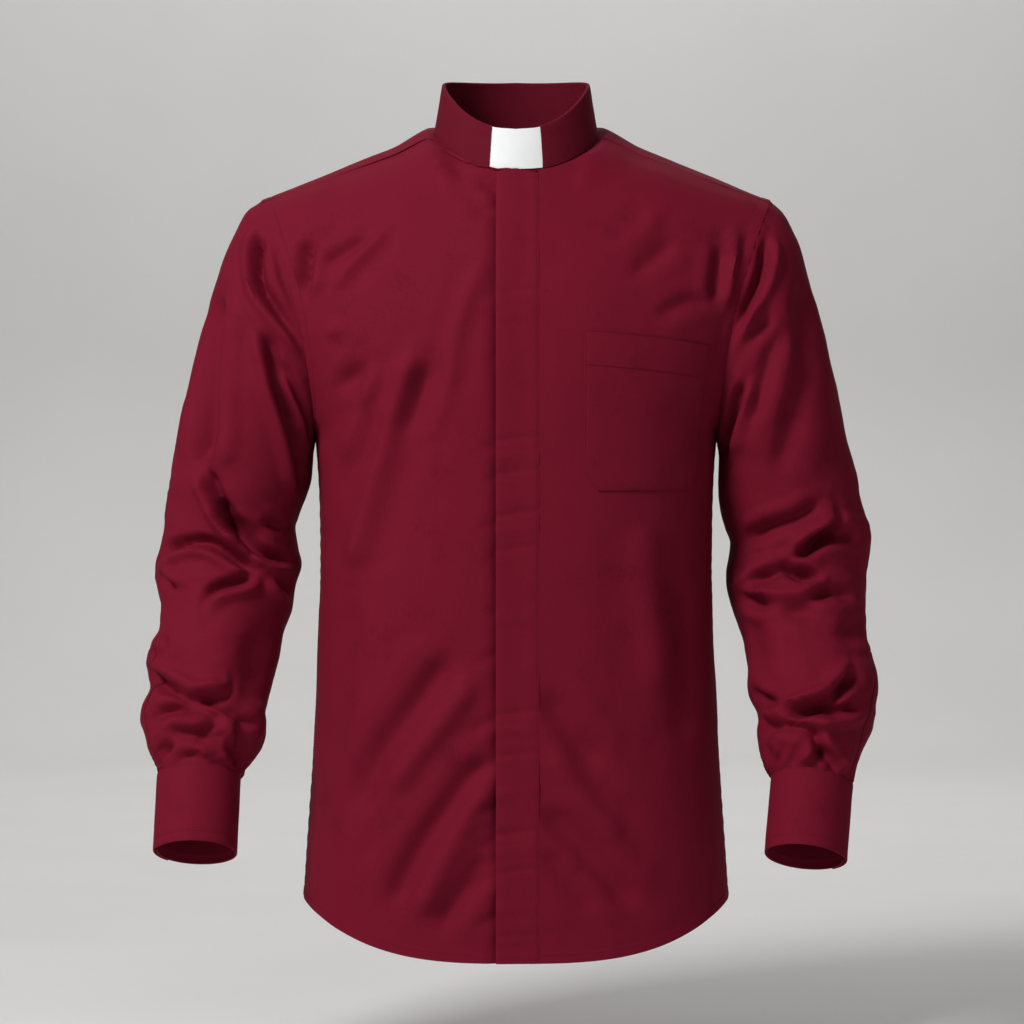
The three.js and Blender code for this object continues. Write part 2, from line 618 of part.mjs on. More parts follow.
function sleevePoint(table, ring, angle) {
  const point = ringPoint(ringFrame(table, ring), angle);
  const armhole = armholePoint(180 - angle);
  armhole.x += SEAM;
  const atArmhole = armhole.sub(ringPoint(ringFrame(table, 0), angle));
  return point.addScaledVector(atArmhole, 1 - ease(0, 2.5, ring));
}

const turnOver = (grid) => grid.map((row) => row.map((p) => new THREE.Vector3(-p.x, p.y, p.z)).reverse());

function sleeveGrid(table, folds) {
  const lastRow = table.length - 1;
  const grid = [];
  for (let i = 0; i <= SLEEVE_RINGS; i += 1) {
    const row = [];
    for (let j = 0; j <= SLEEVE_STEPS; j += 1) {
      const angle = 360 * (j % SLEEVE_STEPS) / SLEEVE_STEPS;
      row.push(sleevePoint(table, lastRow * i / SLEEVE_RINGS, angle));
    }
    grid.push(row);
  }
  const frontFolds = folds.filter((fold) => fold.side === 'front');
  const backFolds = folds.filter((fold) => fold.side === 'back');
  const [folded] = raiseGrids([grid], ({ point, i, j }) => {
    const facing = Math.sin(2 * Math.PI * j / SLEEVE_STEPS);
    const side = facing > 0 ? frontFolds : backFolds;
    const ends = Math.min(i / 2, (SLEEVE_RINGS - i) / 2, 1);
    return foldAt(side, point.x, point.z) * ease(0.05, 0.55, Math.abs(facing)) * ends;
  });
  return folded;
}

// At the armhole a sleeve's wall is as thick as its cloth toward the armhole's middle.
function towardArmhole(point) {
  const middle = (UNDERARM + SHOULDER_TIP) / 2;
  return new THREE.Vector3(0, -point.y, middle - point.z).normalize();
}

function sleevePlacketGrid(sleeve) {
  const [raised] = raiseGrids([sleeve], () => FACE_GAP + CLOTH);
  const rings = raised.slice(SLEEVE_PLACKET.firstRing, SLEEVE_PLACKET.lastRing + 1);
  const grid = columnsBetween(rings, SLEEVE_PLACKET.firstColumn, SLEEVE_PLACKET.lastColumn);
  return drawBack(grid, 'last row', 3 * SEAM);
}

function addSleeve(name, table, folds, place) {
  const grid = sleeveGrid(table, folds);
  const sleeve = place(grid);
  const armhole = new Set(sleeve[0].map(pointKey));
  const inwardAt = (point) => (armhole.has(pointKey(point)) ? towardArmhole(point) : null);
  addPiece(`sleeve_${name}`, clothWall([sleeve], SLEEVE_CLOTH, inwardAt), POPLIN);
  addPiece(`sleeve_placket_${name}`, clothWall([place(sleevePlacketGrid(grid))], CLOTH), POPLIN);
}

// ---- Cuffs ----
// A strip wound once round the wrist. It starts behind, over its own end, and passes the front.
function cuffPoint(table, angle, down, lift) {
  const frame = ringFrame(table, table.length - 1);
  const axis = frame.across.clone().cross(frame.forward).normalize();
  const out = ringPoint({ ...frame, middle: new THREE.Vector3() }, angle).normalize();
  const lapped = (CUFF_CLOTH + SEAM) * (1 - ease(CUFF.underEnd - 360, CUFF.rampTo, angle));
  return ringPoint(frame, angle)
    .addScaledVector(axis, 2 * SEAM + CUFF.length * down)
    .addScaledVector(out, CUFF.flare + lapped + lift);
}

function cuffGrid(table) {
  const grid = [];
  for (let row = 0; row <= 3; row += 1) {
    const points = [];
    for (let angle = CUFF.overEnd; angle <= CUFF.underEnd; angle += CUFF.step) {
      points.push(cuffPoint(table, angle, row / 3, 0));
    }
    grid.push(points);
  }
  return grid;
}

function buttonGeometry() {
  const { radius, thickness, rim } = CUFF_BUTTON;
  const profile = [
    [0, 0], [radius - rim, 0], [radius, rim], [radius, thickness - rim], [radius - rim, thickness],
    [radius - 2 * rim, thickness], [radius - 3 * rim, thickness - rim], [0, thickness - rim],
  ];
  return new THREE.LatheGeometry(profile.map(([x, y]) => new THREE.Vector2(x, y)), 20);
}

function addCuff(name, table, place) {
  addPiece(`cuff_${name}`, clothWall([place(cuffGrid(table))], CUFF_CLOTH), POPLIN);
  const [[seat, above]] = place([[
    cuffPoint(table, CUFF_BUTTON.angle, 0.5, FACE_GAP),
    cuffPoint(table, CUFF_BUTTON.angle, 0.5, FACE_GAP + 1),
  ]]);
  const [start, end] = name === 'right' ? [above, seat] : [seat, above];
  const out = end.clone().sub(start).normalize();
  const button = buttonGeometry();
  button.applyQuaternion(new THREE.Quaternion().setFromUnitVectors(new THREE.Vector3(0, 1, 0), out));
  button.translate(start.x, start.y, start.z);
  addPiece(`cuff_button_${name}`, button, BUTTON_PLASTIC);
}

addSleeve('right', SLEEVE_RIGHT, SLEEVE_RIGHT_FOLDS, turnOver);
addSleeve('left', SLEEVE_LEFT, SLEEVE_LEFT_FOLDS, (grid) => grid);
addCuff('right', SLEEVE_RIGHT, turnOver);
addCuff('left', SLEEVE_LEFT, (grid) => grid);

// ---- Collar and tab ----
const spread = (from, to, steps) => Array.from({ length: steps + 1 }, (_, i) => mix(from, to, i / steps));

// A strip of the collar over some angles. "low" and "high" are parts of the collar's height at
// an angle, and "outer" and "inner" are distances out from the collar's outer face.
function neckStrip({ angles, low, high, outer, inner, rows = 1 }) {
  const grid = [];
  const innerOf = new Map();
  for (let i = 0; i <= rows; i += 1) {
    const points = [];
    for (const angle of angles) {
      const turn = THREE.MathUtils.degToRad(angle);
      const face = neckPoint(angle, mix(low(angle), high(angle), i / rows));
      const depth = (NECK.back - NECK.front) / 2;
      const out = new THREE.Vector3(depth * Math.sin(turn), -NECK.halfWidth * Math.cos(turn), 0);
      out.normalize();
      const point = face.clone().addScaledVector(out, outer);
      innerOf.set(pointKey(point), face.addScaledVector(out, inner));
      points.push(point);
    }
    grid.push(points);
  }
  const welded = weldGrids([grid]);
  const innerPoints = welded.points.map((point) => innerOf.get(pointKey(point)));
  return closeWall(welded.points, innerPoints, welded.triangles);
}

function toSolid(geometry) {
  const bare = geometry.clone();
  bare.deleteAttribute('normal');
  bare.deleteAttribute('uv');
  const merged = mergeVertices(bare, 1e-4);
  return new wasm.Manifold(new wasm.Mesh({
    numProp: 3,
    vertProperties: new Float32Array(merged.attributes.position.array),
    triVerts: new Uint32Array(merged.index.array),
  }));
}

function fromSolid(solid) {
  const { vertProperties, triVerts } = solid.getMesh();
  const geometry = new THREE.BufferGeometry();
  geometry.setAttribute('position', new THREE.BufferAttribute(vertProperties, 3));
  geometry.setIndex(new THREE.BufferAttribute(triVerts, 1));
  return geometry;
}

const collarBottom = COLLAR_RISE / 38;
const always = (value) => () => value;
const tunnelWall = COLLAR_OUTER_LAYER + TAB.gap;
const tuckedAngles = spread(TAB.shoulder + TAB.step, TAB.reach, 9);
const tabEdge = (angle, open, tucked) => (Math.abs(angle) > TAB.shoulder ? tucked : open);

const band = toSolid(neckStrip({
  angles: spread(COLLAR_SLIT, 360 - COLLAR_SLIT, 48), rows: 3,
  low: always(collarBottom), high: always(1), outer: 0, inner: -COLLAR_WALL,
}));
const windowCut = toSolid(neckStrip({
  angles: spread(-WINDOW.reach, WINDOW.reach, 8),
  low: always(-0.2), high: always(1.2), outer: 2, inner: -WINDOW.depth,
}));
const tunnelCut = toSolid(neckStrip({
  angles: spread(-TAB.reach - 0.4, TAB.reach + 0.4, 16),
  low: always(TAB.tuckedLow - 0.01), high: always(TAB.tuckedHigh + 0.01),
  outer: -COLLAR_OUTER_LAYER, inner: -WINDOW.depth - 0.05,
}));
addPiece('collar_band', fromSolid(band.subtract(windowCut).subtract(tunnelCut)), COLLAR_POPLIN);
addPiece('collar_tab', neckStrip({
  angles: [
    ...tuckedAngles.map((angle) => -angle).reverse(), ...spread(-TAB.shoulder, TAB.shoulder, 18),
    ...tuckedAngles,
  ],
  low: (angle) => tabEdge(angle, TAB.low, TAB.tuckedLow),
  high: (angle) => tabEdge(angle, TAB.high, TAB.tuckedHigh),
  outer: -tunnelWall, inner: -tunnelWall - TAB.thickness,
}), TAB_PLASTIC);

export default shirt;
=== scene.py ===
"""A clergy shirt in the form it is worn in: its cloth, creases, sewing, collar tab and finishes.

Shapes are worked out in millimetres, +Z up. The front faces -Y and the wearer's left is +X.
"""

import math
from collections import namedtuple

import bpy
import numpy as np
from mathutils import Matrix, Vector, noise


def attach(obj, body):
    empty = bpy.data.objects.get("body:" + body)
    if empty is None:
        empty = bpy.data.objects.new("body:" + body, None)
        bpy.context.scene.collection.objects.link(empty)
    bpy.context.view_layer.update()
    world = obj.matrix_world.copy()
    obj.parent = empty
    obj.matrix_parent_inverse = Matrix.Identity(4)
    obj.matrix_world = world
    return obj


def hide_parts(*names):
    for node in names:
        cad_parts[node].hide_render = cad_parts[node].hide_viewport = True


MM = 0.001

# ---- Neckline and collar: heights by the angle round from the front ----
NECK_HALF_WIDTH, NECK_FRONT, NECK_BACK = 76, -75, 62
RIM_HALF_WIDTH, RIM_FRONT, RIM_BACK = 68.5, -74, 50
NECK_ANGLE = (0, 17, 31, 47, 62, 78, 95, 125, 180)
NECK_SEAM = (-36, -34.5, -30, -21, -13, -3, 8, 15, 20)
NECK_RIM = (2, 4, 10, 21, 33, 44, 51, 56, 59)
WINDOW_REACH = 19  # degrees each side of the front where the outer layer is left open

# ---- Body ----
HEM_SIDE, HEM_FRONT, HEM_BACK = -701, -749, -745
UNDERARM, UNDERARM_FRONT, SHOULDER_TIP = -275, -272, -57
FRONT_HEIGHT = (-749, -620, -480, -380, -280, -200, -140, -90, -60, -36)
FRONT_Y = (-124, -121, -122, -126, -129, -128, -119, -101, -87, -75)
BACK_HEIGHT = (-745, -620, -480, -380, -280, -190, -120, -60, -20, 20)
BACK_Y = (112, 107, 101, 103, 113, 121, 117, 100, 82, 62)
SIDE_HEIGHT = (-701, -640, -560, -480, -400, -330, -275)
SIDE_X = (197, 193, 187.5, 183.5, 181.5, 182.5, 186)
ARMHOLE_LOW_X, ARMHOLE_HIGH_X, ARMHOLE_HALF_DEPTH = 186, 236, 72
ROUNDNESS = 0.87  # 1 is an ellipse, less is squarer
LOWER_ROWS = 17

# Rows above the underarm run from the middle at a height, or from an angle round the neckline,
# to an angle round the armhole that starts at the underarm and passes the front.
Row = namedtuple("Row", "height neck arm")
CHEST_ROWS = [Row(h, None, a) for h, a in (
    (-246, 26), (-216, 50), (-184, 73), (-152, 86), (-120, 98), (-90, 110), (-62, 121), (-36, 132))]
COLLARBONE_ROWS = [Row(None, n, a) for n, a in ((17, 138), (34, 145), (54, 154), (79, 166))]
SHOULDER_ROWS = [Row(None, n, a) for n, a in (
    (79, 166), (98, 180), (122, 191), (150, 202), (180, 211))]
YOKE_BACK_ROWS = [Row(h, None, a) for h, a in ((20, 211), (-12, 215), (-46, 220), (-82, 226))]
BACK_ROWS = [Row(h, None, a) for h, a in (
    (-82, 226), (-112, 241), (-142, 256), (-171, 271), (-198, 286), (-224, 302), (-249, 322))]

PANEL_COLUMNS = (40, 60, 78, 96, 114, 132, 150, 168, 184)  # distances from the middle
OUTER_COLUMNS = 3  # from the last of those to the side seam or armhole
TYPICAL_REACH = 245  # middle to side, along the cloth

# ---- Placket and pocket ----
PLACKET_EDGE, PLACKET_SEAM = 18, 20.6  # free edge on the wearer's right, seam on the left
PLACKET_COLUMNS = (-18, -17.2, -12, -6, 0, 6, 12, 17.4, 18.8, 20.6)  # distances from the middle
PLACKET_LIFT = 1.95
PLACKET_CREASE_SCALE = 1.8
EDGE_DROP = 5.0  # how far the right front falls away beside the placket's free edge
UNDERLAP = (-16, -8, 0, 9)
POCKET_COLUMNS = (60, 184)
POCKET_ROWS = (15, 20)  # rows of the left front at its bottom and top
POCKET_CHAMFER, POCKET_CHAMFER_HEIGHT = 13, 20
POCKET_HEM = 30
POCKET_PANEL = np.linspace(40, 204, 42)  # distances from the middle that the pocket is cut from

# ---- Sleeves: edges seen from the front, the middle's depth, the half depth and the tilt ----
Ring = namedtuple("Ring", "out_x out_z in_x in_z mid_y depth tilt")
RIGHT_RINGS = [Ring(*r) for r in (
    (236.4, -57, 186.4, -275, 0, 72, 0), (252, -70, 187.8, -284, 0, 74, 0),
    (266, -98, 188.5, -292, 0, 75, 0), (278, -131, 189, -300, 1, 75, 0),
    (289, -169, 190, -309, 2, 74, 0), (299, -205, 192, -320, 4, 72, 0),
    (307, -240, 195.5, -331, 6, 70, 0), (315, -275, 199.5, -342, 8, 68, 0),
    (322, -310, 203, -352, 9, 66, 0), (327, -341, 206, -361, 10, 64, 2),
    (329, -368, 203, -378, 9, 62, 5), (336, -393, 200, -394, 6, 62, 8),
    (334, -413, 205, -412, 1, 62, 12), (328, -436, 208, -435, -8, 60, 16),
    (330, -456, 215, -457, -18, 59, 19), (337.5, -479, 219.5, -481, -29, 58, 21),
    (334, -507, 225, -508, -42, 56, 22), (342, -531, 229, -529, -53, 54, 22),
    (338, -549, 227.5, -547, -61, 52, 22), (331, -566, 237, -565, -69, 47, 22),
    (321.5, -585.5, 250.5, -586.5, -78, 38.5, 22))]
LEFT_RINGS = [Ring(*r) for r in (
    (236.4, -57, 186.4, -275, 0, 72, 0), (252, -74, 187.8, -284, 0, 74, 0),
    (264, -103, 188.5, -292, 0, 75, 0), (274, -136, 188.5, -301, 1, 75, 0),
    (284, -170, 188.5, -311, 2, 74, 0), (292, -204, 188.5, -322, 4, 72, 0),
    (300, -239, 189, -334, 6, 70, 0), (307.5, -274, 191, -347, 8, 68, 0),
    (315.5, -308, 195, -361, 9, 66, 0), (323, -341, 200, -375, 10, 64, 2),
    (329.5, -371, 198, -389, 9, 62, 5), (328, -395, 195.5, -402, 5, 62, 8),
    (323.5, -416, 197, -419, -1, 62, 12), (323, -438, 203, -440, -10, 61, 16),
    (324, -460, 209, -462, -20, 59, 19), (326, -483, 213.5, -486, -31, 58, 21),
    (332, -508, 213, -510, -43, 60, 22), (326, -531, 221, -531, -54, 59, 22),
    (319, -552, 220.5, -549, -63, 56, 22), (311, -572, 223, -566, -71, 50, 22),
    (301.5, -594.5, 231.8, -586, -79, 38.5, 22))]
SLEEVE_ROWS, SLEEVE_STEPS = 210, 156
SLEEVE_PLACKET_ROWS, SLEEVE_PLACKET_COLUMNS = slice(157, 209), 13  # of the sleeve's own grid
SLEEVE_PLACKET_LIFT = 0.6

# ---- Cuffs ----
CUFF_LENGTH = 71
CUFF_OVER_END, CUFF_RAMP_TO, CUFF_UNDER_END = -42, 42, 366  # degrees from the wrist's outer side
CUFF_BUTTON_ANGLE = -26
CUFF_FLARE = 1.0
CUFF_LAP = 2.6  # how far the upper end stands off the lower
BUTTON_RADIUS, BUTTON_THICKNESS = 5.7, 2.4
BUTTON_HOLE_RADIUS, BUTTON_HOLE_OFFSET = 0.8, 1.35

# ---- Sewing ----
STITCH_LENGTH, STITCH_PITCH = 2.3, 3.0
STITCH_WIDTH = 0.42
FELL_WIDTH = 7.5  # a felled seam's edge stitching from its seam
HEM_DEPTH = 8
# Distances from an edge at which the cloth has a column or row, for its fold and stitching.
SEAM_EDGE = (0, 1, FELL_WIDTH - 0.6, FELL_WIDTH, FELL_WIDTH + 0.8, 11)
LAPPED_EDGE = (0, 0.8, 1.8, 2.6, 5)
HEM_EDGE = (0, 0.8, HEM_DEPTH - 1.2, HEM_DEPTH - 0.5, HEM_DEPTH, HEM_DEPTH + 1, 12)
MOUTH_EDGE = (0, 0.8, POCKET_HEM - 2, POCKET_HEM - 0.7, POCKET_HEM, POCKET_HEM + 1, 34)
SEAM_STITCH, LAPPED_STITCH, HEM_STITCH = 3, 2, 3  # which of those columns or rows is sewn

# ---- Creases: seen from the front or back, each runs along its path of (x, z) points ----
# "depth" is below 0 for a trough and above 0 for a crest, "width" is from its line to flat cloth,
# "crisp" is 0 for a soft roll and 1 for a sharp line, and "lean" digs a hollow along one side of a
# crest, as deep for its height as LEAN_DEPTH times the lean. With X to the right and Z up, the hollow
# is on the left of the path's direction where lean is above 0, and on its right where it is below.
LEAN_DEPTH = 0.8
Crease = namedtuple("Crease", "depth width crisp path lean", defaults=[0])
FRONT_CREASES = [Crease(*c) for c in (
    (-11, 11, 0.4, ((-184, -92), (-188, -118), (-192, -150))),
    (5, 9, 0.4, ((-181, -100), (-182, -125), (-183, -152))),
    (5, 9, 0.6, ((-168, -147), (-145, -122), (-114, -90))),
    (-5, 8, 0.5, ((-177, -124), (-158, -112), (-130, -98))),
    (4, 10, 0.3, ((-176, -184), (-152, -180))),
    (-7, 12, 0.4, ((-166, -236), (-148, -226), (-128, -213))),
    (7, 15, 0.3, ((-122, -206), (-138, -256), (-158, -306))),
    (8.5, 16, 0.3, ((-91, -198), (-108, -256), (-127, -318), (-150, -404))),
    (-7.5, 14, 0.3, ((-76, -206), (-90, -246), (-104, -284))),
    (-8, 18, 0.1, ((-54, -468), (-93, -523), (-126, -569), (-148, -622))),
    (-7.5, 16, 0.1, ((-19, -556), (-58, -608), (-88, -651), (-118, -708))),
    (-6, 13, 0.1, ((-19, -646), (-41, -679), (-72, -724))),
    (6, 17, 0.1, ((-34, -490), (-74, -542), (-118, -602))),
    (5.5, 15, 0.1, ((-20, -576), (-58, -642), (-92, -712))),
    (-5.5, 9, 0.5, ((-36, -34), (-28, -46), (-19, -62))),
    (-3, 10, 0.3, ((-62, -24), (-44, -44), (-24, -84))),
    (2.5, 9, 0.3, ((-50, -34), (-36, -54), (-19, -74))),
    (5.5, 10, 0.3, ((200, -84), (196, -122), (190, -164))),
    (-5.5, 9, 0.3, ((188, -100), (184, -130), (178, -158))),
    (-4, 10, 0.3, ((124, -172), (141, -163), (159, -156), (180, -161))),
    (-4, 11, 0.2, ((99, -135), (122, -120), (147, -98))),
    (3, 12, 0.2, ((82, -112), (112, -96), (132, -70))),
    (-6.5, 17, 0.1, ((24, -500), (48, -540), (82, -582))),
    (5, 15, 0.1, ((26, -552), (58, -600), (98, -646))),
    (-7, 16, 0.1, ((22, -606), (62, -651), (112, -704))),
    (-5, 13, 0.1, ((22, -644), (44, -672), (74, -708))),
    (4, 20, 0.0, ((112, -352), (120, -430), (132, -520))),
    (-3.5, 18, 0.0, ((148, -400), (156, -470), (150, -560))),
    (-3.5, 16, 0.0, ((-150, -420), (-158, -500), (-166, -590))),
    (3, 10, 0.2, ((-30, -120), (-52, -180), (-60, -240))),
)]
# Puckers of the right front beside the placket's free edge: (height, length, depth).
PLACKET_PUCKERS = (
    (-66, 20, -1.6), (-146, 14, -1.2), (-206, 12, -1.0), (-282, 16, -1.4), (-312, 12, -1.1),
    (-352, 18, -1.6), (-384, 12, -1.0), (-432, 14, -1.2), (-470, 20, -1.8), (-527, 26, -2.2),
    (-566, 22, -2.0), (-604, 24, -2.2), (-636, 22, -2.0), (-668, 26, -2.4), (-704, 22, -2.0))
# Soft creases across the placket: (height, slant, depth, width).
PLACKET_CREASES = (
    (-45, 0.02, -0.75, 3.0), (-60, -0.16, 0.4, 6), (-148, 0.10, -0.5, 6), (-170, 0.05, 0.45, 8),
    (-280, 0.10, -0.7, 5), (-296, 0.06, 0.5, 7), (-310, 0.12, -0.7, 5), (-347, 0.14, -0.8, 5),
    (-362, 0.10, 0.5, 7), (-378, 0.12, -0.7, 5), (-440, 0.08, 0.4, 10), (-525, 0.10, -0.8, 5),
    (-541, 0.06, 0.5, 7), (-562, 0.10, -0.7, 5), (-596, 0.16, 0.5, 8), (-632, 0.12, -0.8, 5),
    (-648, 0.10, 0.5, 7), (-666, 0.14, -0.8, 5), (-700, 0.06, 0.4, 8), (-724, 0.05, -0.7, 4),
    (-733, 0.05, -0.5, 3))
BACK_CREASES = [Crease(*c) for c in (
    (-4.0, 16, 0.1, ((-152, -150), (-140, -230), (-118, -324))),
    (-4.0, 16, 0.1, ((148, -160), (136, -250), (110, -352))),
    (3.4, 18, 0.1, ((-58, -112), (-66, -250), (-82, -420))),
    (3.4, 18, 0.1, ((54, -112), (64, -260), (86, -440))),
    (-5.0, 17, 0.1, ((-18, -430), (-66, -492), (-122, -562))),
    (-5.2, 17, 0.1, ((-10, -520), (-52, -600), (-102, -684))),
    (-5.0, 17, 0.1, ((14, -440), (62, -502), (120, -574))),
    (-4.6, 17, 0.1, ((16, -540), (58, -616), (106, -692))),
    (3.6, 20, 0.1, ((10, -600), (6, -664), (4, -732))),
    (3.0, 12, 0.3, ((-190, -140), (-170, -190), (-160, -250))),
    (3.0, 12, 0.3, ((188, -150), (172, -200), (156, -262))),
    (-2.4, 12, 0.2, ((-120, -100), (-90, -130), (-50, -146))),
    (-2.4, 12, 0.2, ((116, -104), (84, -132), (44, -144))),
)]
RIGHT_SLEEVE_FRONT = [Crease(*c) for c in (
    (8, 8, 0.6, ((-238, -87), (-245, -108), (-244, -130), (-239, -148), (-223, -170),
            (-206, -190), (-190, -208)), 2.1),
    (5, 8, 0.6, ((-223, -97), (-220, -126), (-212, -148), (-199, -172), (-192, -186)), 2),
    (4.5, 7, 0.6, ((-216, -159), (-208, -172), (-197, -190)), 1.7),
    (7, 10, 0.5, ((-239, -183), (-232, -207), (-226, -236), (-217, -265), (-210, -296),
            (-206, -329)), 2.1),
    (4.5, 8, 0.5, ((-223, -212), (-210, -236), (-199, -258), (-196, -282)), 1.8),
    (-15, 14, 0.1, ((-274, -141), (-281, -185), (-284, -229), (-284, -274), (-291, -307))),
    (8, 10, 0.6, ((-294, -307), (-285, -333), (-270, -357), (-250, -380)), 2.1),
    (8, 9, 0.6, ((-282, -335), (-277, -349), (-269, -362), (-256, -377), (-239, -390),
            (-222, -398), (-204, -400)), 2.1),
    (8, 9, 0.6, ((-324, -393), (-306, -385), (-287, -383), (-271, -390), (-256, -400),
            (-240, -409)), 2),
    (6, 8, 0.6, ((-327, -394), (-316, -404), (-304, -412)), -1.8),
    (-8, 9, 0.4, ((-269, -352), (-259, -359), (-242, -367), (-232, -379))),
    (-6, 8, 0.4, ((-234, -360), (-226, -357), (-212, -362))),
    (7.5, 9, 0.6, ((-234, -405), (-237, -412), (-249, -419), (-266, -424), (-276, -431),
            (-277, -436)), -2.1),
    (5, 8, 0.6, ((-222, -405), (-223, -414), (-215, -424), (-209, -432)), 1.7),
    (-8, 10, 0.4, ((-322, -451), (-322, -469), (-328, -477), (-319, -487))),
    (8, 9, 0.6, ((-333, -477), (-324, -486), (-316, -491), (-301, -498), (-289, -503),
            (-277, -503), (-266, -503), (-262, -497)), -2.1),
    (-10, 8, 0.6, ((-290, -505), (-282, -511), (-271, -517), (-256, -526), (-241, -535),
            (-229, -541))),
    (6, 9, 0.6, ((-292, -509), (-276, -519), (-259, -530), (-242, -540))),
    (-10.5, 8, 0.6, ((-328, -534), (-316, -526), (-299, -522), (-282, -523), (-269, -529),
            (-258, -529))),
    (-9, 8, 0.5, ((-316, -539), (-299, -544), (-286, -544), (-272, -539), (-259, -533))),
    (-9, 9, 0.5, ((-321, -573), (-313, -558), (-299, -551))),
    (-8, 7, 0.6, ((-291, -553), (-279, -548), (-266, -549), (-256, -559), (-251, -570))),
    (5, 7, 0.6, ((-289, -554), (-279, -563), (-266, -569))),
    (-6.5, 7, 0.5, ((-308, -575), (-299, -568), (-286, -565), (-278, -567))),
    (-11.5, 9, 0.6, ((-256, -533), (-249, -539), (-246, -553), (-247, -570), (-249, -585))),
    (-6, 22, 0.1, ((-229, -436), (-234, -472), (-241, -506), (-246, -529))),
)]
RIGHT_SLEEVE_BACK = [Crease(*c) for c in (
    (-6, 14, 0.3, ((-250, -116), (-246, -190), (-232, -264))),
    (-6, 14, 0.3, ((-292, -246), (-262, -296), (-226, -342))),
    (6, 12, 0.6, ((-322, -370), (-280, -376), (-212, -394))),
    (-8, 13, 0.5, ((-320, -418), (-272, -424), (-220, -442))),
    (-6, 12, 0.4, ((-328, -492), (-288, -480), (-232, -477))),
    (5, 11, 0.5, ((-318, -456), (-276, -458), (-228, -462))),
    (-6, 10, 0.5, ((-324, -526), (-284, -532), (-238, -548))),
    (4, 9, 0.5, ((-318, -548), (-286, -556), (-250, -564))),
)]
LEFT_SLEEVE_FRONT = [Crease(*c) for c in (
    (8, 9, 0.6, ((235, -93), (236, -114), (232, -133), (225, -150), (213, -171), (199, -192),
            (186, -208)), -2.2),
    (4.5, 7, 0.6, ((217, -152), (216, -161), (209, -175)), -1.7),
    (-6.5, 10, 0.3, ((235, -166), (225, -176), (216, -185), (211, -197))),
    (-6.5, 16, 0.1, ((261, -128), (263, -175), (263, -210), (256, -244), (246, -288), (239, -314))),
    (-6.5, 12, 0.2, ((242, -175), (232, -201), (225, -227), (216, -253), (211, -271))),
    (7, 9, 0.5, ((216, -227), (207, -262), (199, -297)), -2),
    (-10, 9, 0.5, ((279, -335), (270, -343), (256, -352), (239, -358), (225, -364), (210, -374))),
    (9, 9, 0.6, ((288, -341), (286, -352), (274, -362), (260, -372), (248, -385)), 2.1),
    (-9, 9, 0.5, ((260, -378), (274, -371), (291, -366), (319, -367))),
    (7.5, 8, 0.6, ((247, -387), (253, -392), (270, -397), (282, -403)), -2.1),
    (-10, 8, 0.5, ((211, -411), (225, -404), (243, -398), (260, -399), (281, -404))),
    (6, 8, 0.6, ((236, -391), (218, -402), (206, -411), (205, -417))),
    (7, 8, 0.6, ((282, -405), (277, -412), (263, -419), (244, -421), (224, -419), (206, -416))),
    (-9, 8, 0.5, ((208, -421), (218, -430), (234, -430))),
    (-10, 9, 0.5, ((264, -428), (274, -421), (288, -418), (301, -421), (312, -426))),
    (-8, 11, 0.3, ((237, -445), (250, -438), (263, -438), (276, -445))),
    (8, 9, 0.6, ((298, -482), (288, -497), (274, -507), (256, -514), (241, -519), (236, -523)), 1.8),
    (7.5, 9, 0.6, ((237, -530), (250, -533), (270, -536), (291, -534), (310, -531), (315, -525)), 1.7),
    (-10, 8, 0.6, ((210, -507), (222, -516), (241, -519))),
    (-10, 7, 0.6, ((253, -523), (263, -519), (277, -520), (288, -527), (293, -531))),
    (-10, 8, 0.6, ((279, -509), (291, -501), (305, -495), (310, -501))),
    (-10, 8, 0.6, ((225, -547), (232, -540), (243, -537), (256, -538), (267, -544), (274, -552))),
    (6, 7, 0.6, ((277, -554), (270, -559), (258, -565), (255, -572))),
    (7, 8, 0.6, ((272, -539), (277, -549), (288, -565), (298, -580)), -2),
    (-8, 7, 0.5, ((260, -566), (270, -562), (284, -566), (291, -573))),
    (-8, 9, 0.4, ((210, -501), (218, -525), (224, -540), (218, -556), (230, -577))),
    (-6, 20, 0.1, ((211, -431), (213, -456), (218, -480), (224, -497))),
    (-5, 18, 0.1, ((301, -438), (305, -456), (301, -473))),
)]
LEFT_SLEEVE_BACK = [Crease(*c) for c in (
    (-6, 14, 0.3, ((248, -120), (244, -194), (230, -266))),
    (-6, 14, 0.3, ((286, -252), (256, -300), (224, -344))),
    (6, 12, 0.6, ((316, -378), (270, -386), (210, -396))),
    (-8, 13, 0.5, ((312, -422), (266, -430), (212, -446))),
    (5, 11, 0.5, ((312, -462), (268, -462), (220, -468))),
    (-6, 12, 0.4, ((318, -498), (280, -492), (224, -483))),
    (-6, 10, 0.5, ((310, -534), (276, -540), (230, -552))),
    (4, 9, 0.5, ((304, -556), (276, -562), (240, -566))),
)]


# ---- Number helpers ----
def mix(start, end, part):
    return start + (end - start) * part


def ease(start, end, value):
    part = np.clip((value - start) / (end - start), 0, 1)
    return part * part * (3 - 2 * part)


def swell(away):
    """A rounded rise: 1 where away is 0, and 0 from 1 on to either side."""
    return (1 + np.cos(np.pi * np.clip(away, -1, 1))) / 2


